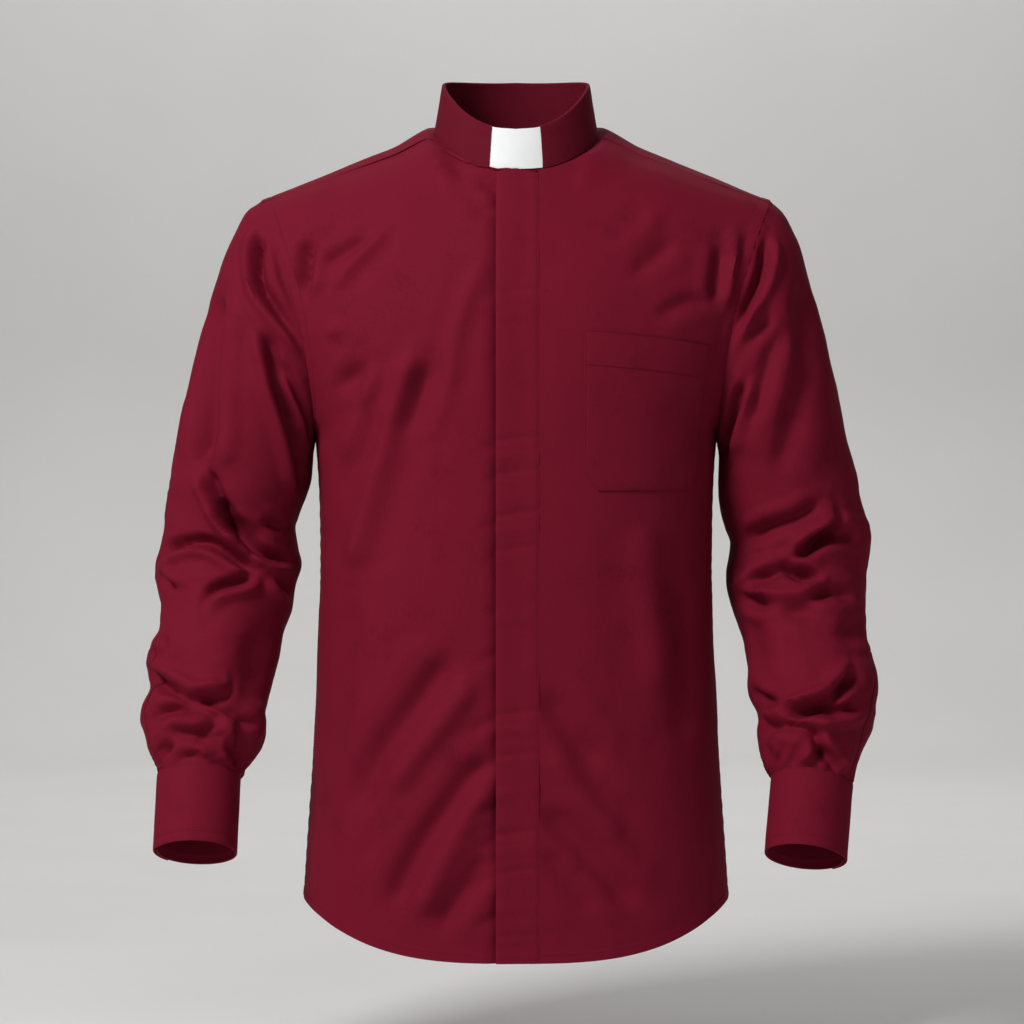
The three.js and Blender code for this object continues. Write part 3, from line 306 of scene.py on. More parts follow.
def curve(keys, values, at):
    """A smooth curve through the values at the keys, read at one place or a list of them."""
    keys, values, at = np.asarray(keys, float), np.asarray(values, float), np.asarray(at, float)
    i = np.clip(np.searchsorted(keys, at) - 1, 0, len(keys) - 2)
    before, after = np.maximum(i - 1, 0), np.minimum(i + 2, len(keys) - 1)
    spread = at.shape + (1,) * (values.ndim - 1)
    span = (keys[i + 1] - keys[i]).reshape(spread)
    part = np.clip((at - keys[i]).reshape(spread) / span, 0, 1)
    start = (values[i + 1] - values[before]) / (keys[i + 1] - keys[before]).reshape(spread) * span
    end = (values[after] - values[i]) / (keys[after] - keys[i]).reshape(spread) * span
    square, cube = part**2, part**3
    rise = (values[i + 1] - values[i]) * (3 * square - 2 * cube)
    return values[i] + rise + start * (cube - 2 * square + part) + end * (cube - square)


# ---- The shirt's surface ----
def neck_point(angle, up):
    """On the collar's outer face, at an angle from the front and a part of its height."""
    turn = math.radians(angle)
    width = mix(NECK_HALF_WIDTH, RIM_HALF_WIDTH, up)
    front, back = mix(NECK_FRONT, RIM_FRONT, up), mix(NECK_BACK, RIM_BACK, up)
    round_from_front = min(abs(angle), 360 - abs(angle))
    seam = curve(NECK_ANGLE, NECK_SEAM, round_from_front)
    rim = curve(NECK_ANGLE, NECK_RIM, round_from_front)
    y = (front + back) / 2 + (front - back) / 2 * math.cos(turn)
    return np.array((width * math.sin(turn), y, mix(float(seam), float(rim), up)))


def armhole_point(angle):
    turn = math.radians(angle)
    z = mix(UNDERARM, SHOULDER_TIP, (1 - math.cos(turn)) / 2)
    rise = (z - UNDERARM) / (SHOULDER_TIP - UNDERARM)
    x = mix(ARMHOLE_LOW_X, ARMHOLE_HIGH_X, rise * rise)
    return np.array((x, -ARMHOLE_HALF_DEPTH * math.sin(turn), z))


def centre_point(is_front, height):
    heights, depths = (FRONT_HEIGHT, FRONT_Y) if is_front else (BACK_HEIGHT, BACK_Y)
    return np.array((0, float(curve(heights, depths, height)), height))


def side_point(height):
    return np.array((float(curve(SIDE_HEIGHT, SIDE_X, height)), 0, height))


def row_line(start, end, sweep, lift):
    """A fine line from the middle to the wearer's left side, and the distance along it."""
    full = math.radians(sweep)
    turn = np.linspace(0, full, 241)
    outward = np.maximum(np.sin(turn) / math.sin(full), 0) ** ROUNDNESS
    fall = np.maximum(np.cos(turn), 0) ** ROUNDNESS
    backward = (1 - fall) / (1 - fall[-1])
    line = np.column_stack((
        mix(start[0], end[0], outward), mix(start[1], end[1], backward),
        mix(start[2], end[2], outward**lift)))
    steps = np.linalg.norm(np.diff(line, axis=0), axis=1)
    return line, np.concatenate(([0], np.cumsum(steps)))


def upper_row(row, is_front):
    start = neck_point(row.neck, 0) if row.neck else centre_point(is_front, row.height)
    from_underarm = min(row.arm, 360 - row.arm)
    lift = 1 + 2 * max(0, 1 - from_underarm / 140)
    line = row_line(start, armhole_point(row.arm), 90 - 0.42 * from_underarm, lift)
    pinned = 0 if row.neck else 1 - float(ease(-150, -60, row.height))
    return line, pinned, row.neck is None


def lower_rows(is_front):
    hem = HEM_FRONT if is_front else HEM_BACK
    rows = []
    for up in np.linspace(0, 1, LOWER_ROWS + 1):
        start = centre_point(is_front, mix(hem, UNDERARM_FRONT, up))
        end = side_point(mix(HEM_SIDE, UNDERARM, up))
        rows.append((row_line(start, end, 90, 1 + 2.2 * (1 - up)), 1, True))
    return rows


def chest_rows():
    """The front's rows from its hem up to the neckline."""
    return lower_rows(True) + [upper_row(row, True) for row in CHEST_ROWS]


def points_at(row, side, distances):
    """Points of a row at distances from its middle. Those below 0 lie past the middle."""
    (line, along), _, _ = row
    distances = np.array(distances, float)
    points = np.column_stack([np.interp(np.abs(distances), along, line[:, k]) for k in range(3)])
    points[:, 0] *= np.where(distances < 0, -side, side)
    return points


def row_points(row, side, start, extra=()):
    """Points out along half a row. On the chest and below, they keep their distance from the
    middle, and above it they spread evenly."""
    (_, along), pinned, from_middle = row
    reach = along[-1]
    first = start if from_middle else 0
    spread = max(start, PLACKET_EDGE if side < 0 else PLACKET_SEAM)
    distances = [first]
    for column in PANEL_COLUMNS:
        part = (column - spread) / (TYPICAL_REACH - spread)
        distances.append(mix(mix(first, reach, part), column, pinned))
    outermost = distances[-1]
    distances += [mix(outermost, reach, i / OUTER_COLUMNS) for i in range(1, OUTER_COLUMNS + 1)]
    if extra:
        distances = [*extra, *distances] if from_middle else [0] * len(extra) + distances
    return points_at(row, side, distances)


def refine(grid, rows, columns):
    """The same smooth surface with that many times as many rows and columns."""
    for times in (rows, columns):
        count = len(grid)
        grid = curve(np.arange(count), grid, np.linspace(0, count - 1, (count - 1) * times + 1))
        grid = np.swapaxes(grid, 0, 1)
    return grid


def lengths_along(grid):
    """The distance of each point along its row from the first column."""
    steps = np.linalg.norm(np.diff(grid, axis=1), axis=2)
    return np.hstack((np.zeros((len(grid), 1)), np.cumsum(steps, axis=1)))


def space_columns(grid, near_first=(), near_last=()):
    """Puts columns at set distances from either edge, and spreads the others between them."""
    along = lengths_along(grid)
    rows = []
    for row, at in zip(grid, along):
        reach = at[-1]
        low = near_first[-1] if near_first else 0
        high = reach - (near_last[-1] if near_last else 0)
        inner = low + (high - low) * at / reach
        inner = inner[1 if near_first else 0:-1 if near_last else None]
        places = np.concatenate((near_first, inner, reach - np.array(near_last[::-1])))
        rows.append(np.column_stack([np.interp(places, at, row[:, k]) for k in range(3)]))
    return np.array(rows)


def space_rows(grid, near_first=(), near_last=()):
    return np.swapaxes(space_columns(np.swapaxes(grid, 0, 1), near_first, near_last), 0, 1)


def surface_normals(grid):
    along_row, up = np.gradient(grid, axis=1), np.gradient(grid, axis=0)
    normals = np.cross(along_row, up)
    return normals / np.maximum(np.linalg.norm(normals, axis=2, keepdims=True), 1e-9)


# ---- Creases and the cloth's own unevenness ----
def crease_amount(grid, creases):
    x, z = grid[..., 0], grid[..., 2]
    total = np.zeros(x.shape)
    for crease in creases:
        corners = len(crease.path)
        path = curve(np.arange(corners), crease.path, np.linspace(0, corners - 1, 3 * corners - 2))
        pieces = np.linalg.norm(np.diff(path, axis=0), axis=1)
        length, passed = pieces.sum(), 0.0
        nearest, along, beside = np.full(x.shape, np.inf), np.zeros(x.shape), np.zeros(x.shape)
        for (x0, z0), (x1, z1), piece in zip(path, path[1:], pieces):
            part = np.clip(((x - x0) * (x1 - x0) + (z - z0) * (z1 - z0)) / piece**2, 0, 1)
            away = np.hypot(x - mix(x0, x1, part), z - mix(z0, z1, part))
            closer = away < nearest
            across = (x1 - x0) * (z - z0) - (z1 - z0) * (x - x0)
            beside = np.where(closer, np.sign(across) * away, beside)
            nearest = np.where(closer, away, nearest)
            along = np.where(closer, passed + part * piece, along)
            passed += piece
        fade = min(1.6 * crease.width, 0.45 * length)
        ends = mix(0.12, 1, ease(0, fade, along) * ease(0, fade, length - along))
        reach = crease.width * mix(0.75, 1.1, ends)
        away = nearest / reach
        sharp = np.clip(1 - away, 0, 1) ** 2
        shoulder = 0.28 * swell(away - 1.45)
        if crease.lean:
            from_hollow = (beside * np.sign(crease.lean) / reach - 1.1) / 0.85
            shoulder = abs(crease.lean) * LEAN_DEPTH * swell(from_hollow)
        total += crease.depth * ends * (mix(swell(away), sharp, crease.crisp) - shoulder)
    return total


def smoothed(amount, times):
    """The amounts with each one drawn toward its neighbours."""
    for _ in range(times):
        amount = np.pad(amount, 1, mode="edge")
        beside = amount[1:-1, :-2] + amount[1:-1, 2:] + amount[:-2, 1:-1] + amount[2:, 1:-1]
        amount = 0.5 * amount[1:-1, 1:-1] + 0.125 * beside
    return amount


def noise_at(grid, size, seed):
    """Smooth noise from -1 to 1 over the cloth. size is its grain in millimetres along X, Y and Z."""
    places = grid.reshape(-1, 3) / np.array(size) + seed * 17.3
    return np.array([noise.noise(Vector(p)) for p in places]).reshape(grid.shape[:2])


def pucker(from_seam, along_seam, reach, depth, pitch):
    """Short ripples across a seam, uneven in pitch."""
    wave = np.sin(2 * np.pi * along_seam / pitch + 1.7 * np.sin(along_seam / 23))
    return depth * wave * (1 - ease(0, reach, from_seam)) * (0.6 + 0.4 * np.sin(along_seam / 41))


def step_at(from_edge, width, height):
    """The raised strip of a fell or hem, up to its stitching."""
    return height * (1 - ease(width - 0.1, width + 0.9, from_edge))


# ---- Making pieces ----
def link_mesh(name, points, faces, uvs=None):
    mesh = bpy.data.meshes.new(name)
    mesh.from_pydata((np.asarray(points) * MM).tolist(), [], faces)
    if uvs is not None:
        layer = mesh.uv_layers.new(name="cloth_mm")
        corners = np.empty(len(mesh.loops), int)
        mesh.loops.foreach_get("vertex_index", corners)
        layer.data.foreach_set("uv", np.asarray(uvs)[corners].ravel())
    mesh.update()
    piece = bpy.data.objects.new(name, mesh)
    bpy.context.collection.objects.link(piece)
    return piece


def weld(grids):
    """One list of points, faces and cloth coordinates from grids that share their edges."""
    keys, points, uvs, faces = {}, [], [], []
    for grid in grids:
        along, up = lengths_along(grid), lengths_along(np.swapaxes(grid, 0, 1)).T
        index = np.empty(grid.shape[:2], int)
        for i, row in enumerate(grid):
            for j, point in enumerate(row):
                key = tuple(np.round(point, 3))
                if key not in keys:
                    keys[key] = len(points)
                    points.append(point)
                    uvs.append((along[i, j], up[i, j]))
                index[i, j] = keys[key]
        for i in range(len(grid) - 1):
            for a, b, c, d in zip(index[i], index[i][1:], index[i + 1][1:], index[i + 1]):
                corners = list(dict.fromkeys((int(a), int(b), int(c), int(d))))
                if len(corners) > 2:
                    faces.append(corners)
    return points, faces, uvs


def apply_modifiers(piece):
    shaped = bpy.data.meshes.new_from_object(piece.evaluated_get(bpy.context.evaluated_depsgraph_get()))
    piece.modifiers.clear()
    piece.data = shaped


def finish_piece(piece, node, finish):
    piece.data.materials.clear()
    piece.data.materials.append(finish)
    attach(piece, "root")
    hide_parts(node)
    return piece


def cloth_piece(name, grids, node, finish, thickness=0.8, slot="poplin", rim_round=0):
    """A thin shell with its outer face on the grids."""
    piece = link_mesh(name, *weld(grids))
    wall = piece.modifiers.new("wall", "SOLIDIFY")
    wall.thickness = thickness * MM
    wall.offset = -1
    if rim_round:
        turned_edge = piece.modifiers.new("turned edge", "BEVEL")
        turned_edge.width = rim_round * MM
        turned_edge.segments = 2
        turned_edge.limit_method = "ANGLE"
        turned_edge.angle_limit = math.radians(60)
    apply_modifiers(piece)
    piece.data.shade_smooth()
    piece.data.set_sharp_from_angle(angle=math.radians(55))
    return finish_piece(piece, node, finish)


def raised(grid, amount):
    return grid + surface_normals(grid) * np.asarray(amount)[..., None]


def row_line_of(grid, index):
    return grid[index], surface_normals(grid)[index]


def column_line_of(grid, index, start=0, end=None):
    return grid[start:end, index], surface_normals(grid)[start:end, index]


def stitching(name, lines, node, finish):
    """Lines of lock stitches: each stitch is a short raised bar with its ends in the cloth."""
    points, faces = [], []
    for line, normals in lines:
        along = np.concatenate(([0], np.cumsum(np.linalg.norm(np.diff(line, axis=0), axis=1))))
        for start in np.arange(0.6, along[-1] - STITCH_LENGTH, STITCH_PITCH):
            ends = (start, start + STITCH_LENGTH)
            a, b = (np.array([np.interp(at, along, line[:, k]) for k in range(3)]) for at in ends)
            up = np.array([np.interp(start, along, normals[:, k]) for k in range(3)])
            run = (b - a) / STITCH_LENGTH
            side = np.cross(up, run) * STITCH_WIDTH / 2
            base = len(points)
            for place, width, height in ((a, 1, -0.15), (a + run * 0.35, 0.75, 0.2),
                                         (b - run * 0.35, 0.75, 0.2), (b, 1, -0.15)):
                points += [place + side * width + up * height, place - side * width + up * height]
            faces += [[base + k for k in face] for face in (
                (0, 2, 3, 1), (2, 4, 5, 3), (4, 6, 7, 5), (0, 6, 4, 2), (1, 3, 5, 7), (0, 1, 7, 6))]
    return finish_piece(link_mesh(name, points, faces), node, finish)


def sew_piece(node, sewn, flat, lines, finish, thread, held="draped", rests_on=(), **shell):
    """A node's cloth with its lines of stitching. The flat grids it is cut from are not used."""
    stitches = stitching(f"stitching_{node}", lines, node, thread)
    piece = cloth_piece(f"{node}_cloth", sewn, node, finish, **shell)


# ---- Finishes ----
def colour(code):
    """A hex colour as linear light."""
    parts = [int(code[i:i + 2], 16) / 255 for i in (1, 3, 5)]
    return (*[c / 12.92 if c <= 0.04045 else ((c + 0.055) / 1.055) ** 2.4 for c in parts], 1)


def new_finish(name):
    finish = bpy.data.materials.new(name)
    finish.use_nodes = True
    return finish, finish.node_tree.nodes["Principled BSDF"]


def add_node(finish, kind, inputs=None, **settings):
    """Adds a node with its settings, values and links."""
    node = finish.node_tree.nodes.new(kind)
    for name, value in settings.items():
        setattr(node, name, value)
    for name, value in (inputs or {}).items():
        connect(finish, node, name, value)
    return node


def connect(finish, node, name, value):
    if isinstance(value, bpy.types.NodeSocket):
        finish.node_tree.links.new(value, node.inputs[name])
    else:
        node.inputs[name].default_value = value


def colour_steps(finish, amount, steps):
    """Colours over the range 0 to 1 of an amount."""
    node = add_node(finish, "ShaderNodeValToRGB", {"Fac": amount})
    ramp = node.color_ramp
    while len(ramp.elements) < len(steps):
        ramp.elements.new(0.5)
    for element, (place, code) in zip(ramp.elements, steps):
        element.position, element.color = place, colour(code)
    return node.outputs["Color"]


def poplin(name, dark, light):
    """Woven cotton poplin: a matte, slightly uneven red with a fine crosswise rib. The threads are
    drawn at 1 mm, coarser than the real 0.3 mm."""
    finish, shader = new_finish(name)
    place = add_node(finish, "ShaderNodeTexCoord")
    mottling = add_node(finish, "ShaderNodeTexNoise",
                        {"Vector": place.outputs["Object"], "Scale": 26, "Detail": 3})
    warp_place = add_node(finish, "ShaderNodeMapping",
                          {"Vector": place.outputs["UV"], "Scale": (1.0, 0.09, 1)})
    warp = add_node(finish, "ShaderNodeTexNoise",
                    {"Vector": warp_place.outputs["Vector"], "Scale": 1, "Detail": 2})
    weft_place = add_node(finish, "ShaderNodeMapping",
                          {"Vector": place.outputs["UV"], "Scale": (0.07, 1.3, 1)})
    weft = add_node(finish, "ShaderNodeTexNoise",
                    {"Vector": weft_place.outputs["Vector"], "Scale": 1, "Detail": 2})
    threads = add_node(finish, "ShaderNodeMath", operation="ADD")
    connect(finish, threads, 0, warp.outputs["Fac"])
    connect(finish, threads, 1, weft.outputs["Fac"])
    uneven = add_node(finish, "ShaderNodeMath", operation="MULTIPLY_ADD")
    connect(finish, uneven, 0, threads.outputs[0])
    uneven.inputs[1].default_value = 0.6
    connect(finish, uneven, 2, mottling.outputs["Fac"])
    connect(finish, shader, "Base Color",
            colour_steps(finish, uneven.outputs[0], ((0.8, dark), (1.4, light))))
    grain = add_node(finish, "ShaderNodeBump",
                     {"Height": threads.outputs[0], "Strength": 0.35, "Distance": 0.0003})
    connect(finish, shader, "Normal", grain.outputs["Normal"])
    for socket, value in (("Roughness", 0.75), ("IOR", 1.5), ("Specular IOR Level", 0.03)):
        connect(finish, shader, socket, value)
    return finish


def plain_finish(name, dark, light, size, roughness, bump, gloss=0.5):
    """A finish of two close colours in soft patches, with a slightly uneven surface."""
    finish, shader = new_finish(name)
    place = add_node(finish, "ShaderNodeTexCoord")
    patches = add_node(finish, "ShaderNodeTexNoise",
                       {"Vector": place.outputs["Object"], "Scale": size, "Detail": 3})
    connect(finish, shader, "Base Color",
            colour_steps(finish, patches.outputs["Fac"], ((0.3, dark), (0.7, light))))
    uneven = add_node(finish, "ShaderNodeBump",
                      {"Height": patches.outputs["Fac"], "Strength": bump, "Distance": 0.0002})
    connect(finish, shader, "Normal", uneven.outputs["Normal"])
    for socket, value in (("Roughness", roughness), ("IOR", 1.5), ("Specular IOR Level", gloss)):
        connect(finish, shader, socket, value)
    return finish


# ---- Panels of the body ----
def half_grid(rows, side, start, extra=()):
    grid = np.array([row_points(row, side, start, extra) for row in rows])
    return grid[:, ::-1] if side < 0 else grid


def full_grid(rows):
    return np.hstack((half_grid(rows, -1, 0), half_grid(rows, 1, 0)[:, 1:]))


def unevenness(grid, seed, amount=1.0):
    """Shallow waves of cloth that is worn, over its whole face."""
    broad = noise_at(grid, (70, 70, 110), seed) * 1.6
    fine = noise_at(grid, (26, 26, 34), seed + 5) * 0.55
    return amount * (broad + fine)


def edge_distances(grid):
    along, up = lengths_along(grid), lengths_along(np.swapaxes(grid, 0, 1)).T
    return along, along[:, -1:] - along, up, up[-1:] - up


def without_ridge(grid, at_row):
    """Smooths the front where its rows stop meeting in the middle, and leaves its edges."""
    rows = np.abs(np.arange(len(grid)) - at_row)[:, None]
    first, last, _, _ = edge_distances(grid)
    loose = (1 - ease(4, 24, rows)) * ease(0, 16, np.minimum(first, last))
    loose = (loose * ease(2, 16, distance_from_neckline(grid)))[1:-1, :, None]
    for _ in range(60):
        grid[1:-1] = mix(grid[1:-1], (grid[:-2] + grid[2:]) / 2, loose)
    return grid


def distance_from_neckline(grid):
    line = np.array([neck_point(angle, 0) for angle in range(0, 360, 3)])
    away = grid.reshape(-1, 1, 3) - line
    return np.sqrt((away**2).sum(axis=2).min(axis=1)).reshape(grid.shape[:2])


def beside_collar(grid, amount):
    """Lays the cloth under the collar's edge, with a small roll where the shoulders push it up."""
    away = distance_from_neckline(grid)
    at_side = ease(48, 70, np.abs(grid[..., 0]))
    roll = 4.0 * ease(1, 7, away) * (1 - ease(7, 44, away)) * at_side
    return amount * ease(0, 12, away) - 0.7 * (1 - ease(0, 5, away)) + roll


def groove(from_line, depth=0.22, width=1.0):
    """The slight valley that a line of stitches pulls into the cloth."""
    return -depth * (1 - ease(0, width, np.abs(from_line)))


def felled(from_seam):
    return step_at(from_seam, FELL_WIDTH, 0.45) + groove(from_seam - FELL_WIDTH)


def hemmed(from_hem):
    return step_at(from_hem, HEM_DEPTH, 0.4) + groove(from_hem - HEM_DEPTH)


def front_amount(grid, from_seam, from_hem, along_seam, seed):
    folds = crease_amount(grid, FRONT_CREASES) + unevenness(grid, seed)
    quiet = ease(0, 16, from_seam) * mix(0.45, 1, ease(0, 26, from_hem))
    sewn = felled(from_seam) + hemmed(from_hem)
    return folds * quiet + sewn + pucker(from_seam, along_seam, 20, 0.3, 13)


def placket_puckers(grid):
    creases = [Crease(depth, 7, 0.3, ((-14, height), (-18 - length, height - 0.7 * length)))
               for height, length, depth in PLACKET_PUCKERS]
    return crease_amount(grid, creases)


def make_fronts(finish, thread):
    rows = chest_rows() + [upper_row(row, True) for row in COLLARBONE_ROWS]
    neck_row = 7 * (LOWER_ROWS + len(CHEST_ROWS))
    right = without_ridge(refine(half_grid(rows, -1, PLACKET_EDGE, UNDERLAP), 7, 4), neck_row)
    right = space_rows(space_columns(right, near_first=SEAM_EDGE), near_first=HEM_EDGE)
    from_seam, _, from_hem, _ = edge_distances(right)
    amount = front_amount(right, from_seam, from_hem, from_hem, 1) + placket_puckers(right)
    amount = beside_collar(right, amount)
    amount -= PLACKET_LIFT * ease(-PLACKET_EDGE, 8, right[..., 0])
    amount -= EDGE_DROP * ease(-23, -18.5, right[..., 0]) * ease(2, 16, distance_from_neckline(right))
    sewn_right = raised(right, amount)
    sew_piece("front_right", [sewn_right], [right], [
        column_line_of(sewn_right, SEAM_STITCH, 2), row_line_of(sewn_right[:, :-20], HEM_STITCH),
    ], finish, thread)

    left = without_ridge(refine(half_grid(rows, 1, PLACKET_SEAM), 7, 4), neck_row)
    left = space_rows(space_columns(left, (0, 1.5), SEAM_EDGE), near_first=HEM_EDGE)
    _, from_seam, from_hem, _ = edge_distances(left)
    amount = beside_collar(left, front_amount(left, from_seam, from_hem, from_hem, 2))
    sewn_left = raised(left, amount)
    sew_piece("front_left", [sewn_left], [left], [
        column_line_of(sewn_left, -1 - SEAM_STITCH, 2), row_line_of(sewn_left, HEM_STITCH),
    ], finish, thread)


def make_placket(finish, thread):
    flat = refine(np.array([points_at(row, 1, PLACKET_COLUMNS) for row in chest_rows()]), 10, 2)
    flat = space_rows(flat, near_first=HEM_EDGE, near_last=(0, 1.5))
    x, z = flat[..., 0], flat[..., 2]
    from_edge, from_seam, from_hem, from_top = edge_distances(flat)
    amount = crease_amount(flat, FRONT_CREASES) * ease(0, 22, from_edge) * 0.5
    amount += PLACKET_LIFT * (1 - ease(-PLACKET_EDGE, 8, x)) + 0.45
    amount += step_at(from_hem, HEM_DEPTH, 0.25) - 0.7 * (1 - ease(0, 1.6, from_edge))
    amount += groove(from_seam - 1.8, 0.3) - 0.35 * (1 - ease(0, 1.2, from_seam))
    ripples = noise_at(flat, (18, 40, 22), 9) * 0.35
    for height, slant, depth, width in PLACKET_CREASES:
        away = np.abs(z - height - slant * (x - 2)) / width
        ripples += PLACKET_CREASE_SCALE * depth * swell(away) * mix(1, 0.5, ease(-10, 20, x))
    sewn = raised(flat, amount + ripples * ease(0, 14, from_top))
    sewn[..., 2] += 1.4 * (1 - ease(0, 8, from_top))
    sew_piece("placket", [sewn], [flat], [column_line_of(sewn, 16)], finish, thread,
              rests_on=["front_left_cloth"], thickness=1.1)


def make_pocket(finish, thread):
    """A patch pocket on the left front, with a deep hem at its mouth and its lower corners cut."""
    rows = chest_rows()[POCKET_ROWS[0] - 1:POCKET_ROWS[1] + 2]
    panel = refine(np.array([points_at(row, 1, POCKET_PANEL) for row in rows]), 9, 1)[9:-9]
    height = lengths_along(np.swapaxes(panel, 0, 1)).T.mean(axis=1)
    lines = []
    for row, above in zip(panel, height):
        inset = POCKET_CHAMFER * max(0, 1 - above / POCKET_CHAMFER_HEIGHT)
        low, high = POCKET_COLUMNS[0] + inset, POCKET_COLUMNS[1] - inset
        places = np.concatenate(([low, low + 0.7, low + 1.6], np.linspace(low + 3, high - 3, 32),
                                 [high - 1.6, high - 0.7, high]))
        lines.append(curve(POCKET_PANEL, row, places))
    flat = space_rows(np.array(lines), (0, 0.7, 1.6, 3), MOUTH_EDGE)
    from_left, from_right, up, from_mouth = edge_distances(flat)
    edge = np.minimum(np.minimum(from_left, from_right), up)
    amount = crease_amount(flat, FRONT_CREASES) + unevenness(flat, 2) + 1.25
    amount += noise_at(flat, (34, 34, 30), 12) * 0.7 * ease(0, 14, edge)
    amount += 0.9 * ease(0, 30, edge) * (1 - ease(0, 40, from_mouth))
    amount += step_at(from_mouth, POCKET_HEM, 0.35) + groove(from_mouth - POCKET_HEM, 0.3)
    amount += groove(edge - 1.6, 0.2) - 0.3 * (1 - ease(0, 0.9, edge))
    sewn = raised(flat, amount)
    sew_piece("pocket", [sewn], [flat], [
        column_line_of(sewn, 2, 2), column_line_of(sewn, -3, 2),
        row_line_of(sewn[:, 2:-2], 2), row_line_of(sewn[:, 2:-2], -4),
    ], finish, thread, "laid", ["front_left_cloth"], thickness=0.6)


def make_yoke(finish, thread):
    shoulders = [upper_row(row, False) for row in SHOULDER_ROWS]
    back = refine(full_grid([upper_row(row, False) for row in YOKE_BACK_ROWS]), 7, 4)
    back = space_rows(space_columns(back, SEAM_EDGE, SEAM_EDGE), near_last=LAPPED_EDGE)
    right = space_columns(refine(half_grid(shoulders, -1, PLACKET_EDGE), 7, 4), near_first=SEAM_EDGE)
    left = space_columns(refine(half_grid(shoulders, 1, PLACKET_SEAM), 7, 4), near_last=SEAM_EDGE)
    right, left = (space_rows(grid, near_first=LAPPED_EDGE) for grid in (right, left))
    middle = back.shape[1] // 2
    flat = [right, left, back]
    sewn = []
    for seed, grid in enumerate(flat):
        first, last, top, bottom = edge_distances(grid)
        from_seam = (first, last, np.minimum(first, last))[seed]
        from_lap = (top, top, bottom)[seed]
        amount = unevenness(grid, 20, 0.8) * ease(0, 14, from_seam) * ease(0, 10, from_lap)
        amount += felled(from_seam)
        amount += 0.6 - 0.35 * (1 - ease(0, 0.9, from_lap)) + groove(from_lap - 1.8, 0.2)
        amount += pucker(from_seam, top, 16, 0.25, 12)
        sewn.append(raised(grid, beside_collar(grid, amount)))
    sewn[0][-1], sewn[1][-1] = sewn[2][0, :middle + 1], sewn[2][0, middle:]
    sew_piece("yoke", sewn, flat, [
        row_line_of(sewn[0][:, 1:], LAPPED_STITCH), row_line_of(sewn[1][:, :-1], LAPPED_STITCH),
        row_line_of(sewn[2][:, 1:-1], -1 - LAPPED_STITCH),
        column_line_of(sewn[0], SEAM_STITCH), column_line_of(sewn[1], -1 - SEAM_STITCH),
        column_line_of(sewn[2], SEAM_STITCH), column_line_of(sewn[2], -1 - SEAM_STITCH),
    ], finish, thread, thickness=0.9)


def make_back(finish, thread):
    rows = [upper_row(row, False) for row in BACK_ROWS] + lower_rows(False)[::-1]
    flat = space_columns(refine(full_grid(rows), 7, 4), SEAM_EDGE, SEAM_EDGE)
    flat = space_rows(flat, (0, 1.5), HEM_EDGE)
    first, last, from_yoke, from_hem = edge_distances(flat)
    from_seam = np.minimum(first, last)
    amount = (crease_amount(flat, BACK_CREASES) + unevenness(flat, 30)) * ease(0, 16, from_seam)
    amount *= ease(0, 12, from_yoke) * mix(0.45, 1, ease(0, 26, from_hem))
    amount += felled(from_seam) + hemmed(from_hem) + pucker(from_seam, from_hem, 20, 0.3, 13)
    sewn = raised(flat, amount)
    sew_piece("back", [sewn], [flat], [
        column_line_of(sewn, SEAM_STITCH), column_line_of(sewn, -1 - SEAM_STITCH),
        row_line_of(sewn, -1 - HEM_STITCH),
    ], finish, thread)


# ---- Sleeves and cuffs ----
def ring_frames(rings, at):
    """The middle, the half width and the half depth of the arm's rings, as vectors."""
    out_x, out_z, in_x, in_z, mid_y, depth, tilt = curve(np.arange(len(rings)), np.array(rings), at).T
    zero, lean = np.zeros(len(out_x)), np.radians(tilt)
    middle = np.column_stack(((out_x + in_x) / 2, mid_y, (out_z + in_z) / 2))
    across = np.column_stack(((out_x - in_x) / 2, zero, (out_z - in_z) / 2))
    forward = np.column_stack((zero, -depth * np.cos(lean), depth * np.sin(lean)))
    return middle, across, forward


def round_ring(across, forward, turn):
    return (across[:, None] * np.cos(turn)[None, :, None]
            + forward[:, None] * np.sin(turn)[None, :, None])


def on_side(grid, side):
    """The grid as it is on the wearer's left, or turned over for the right."""
    return grid if side > 0 else grid[:, ::-1] * np.array((-1, 1, 1))


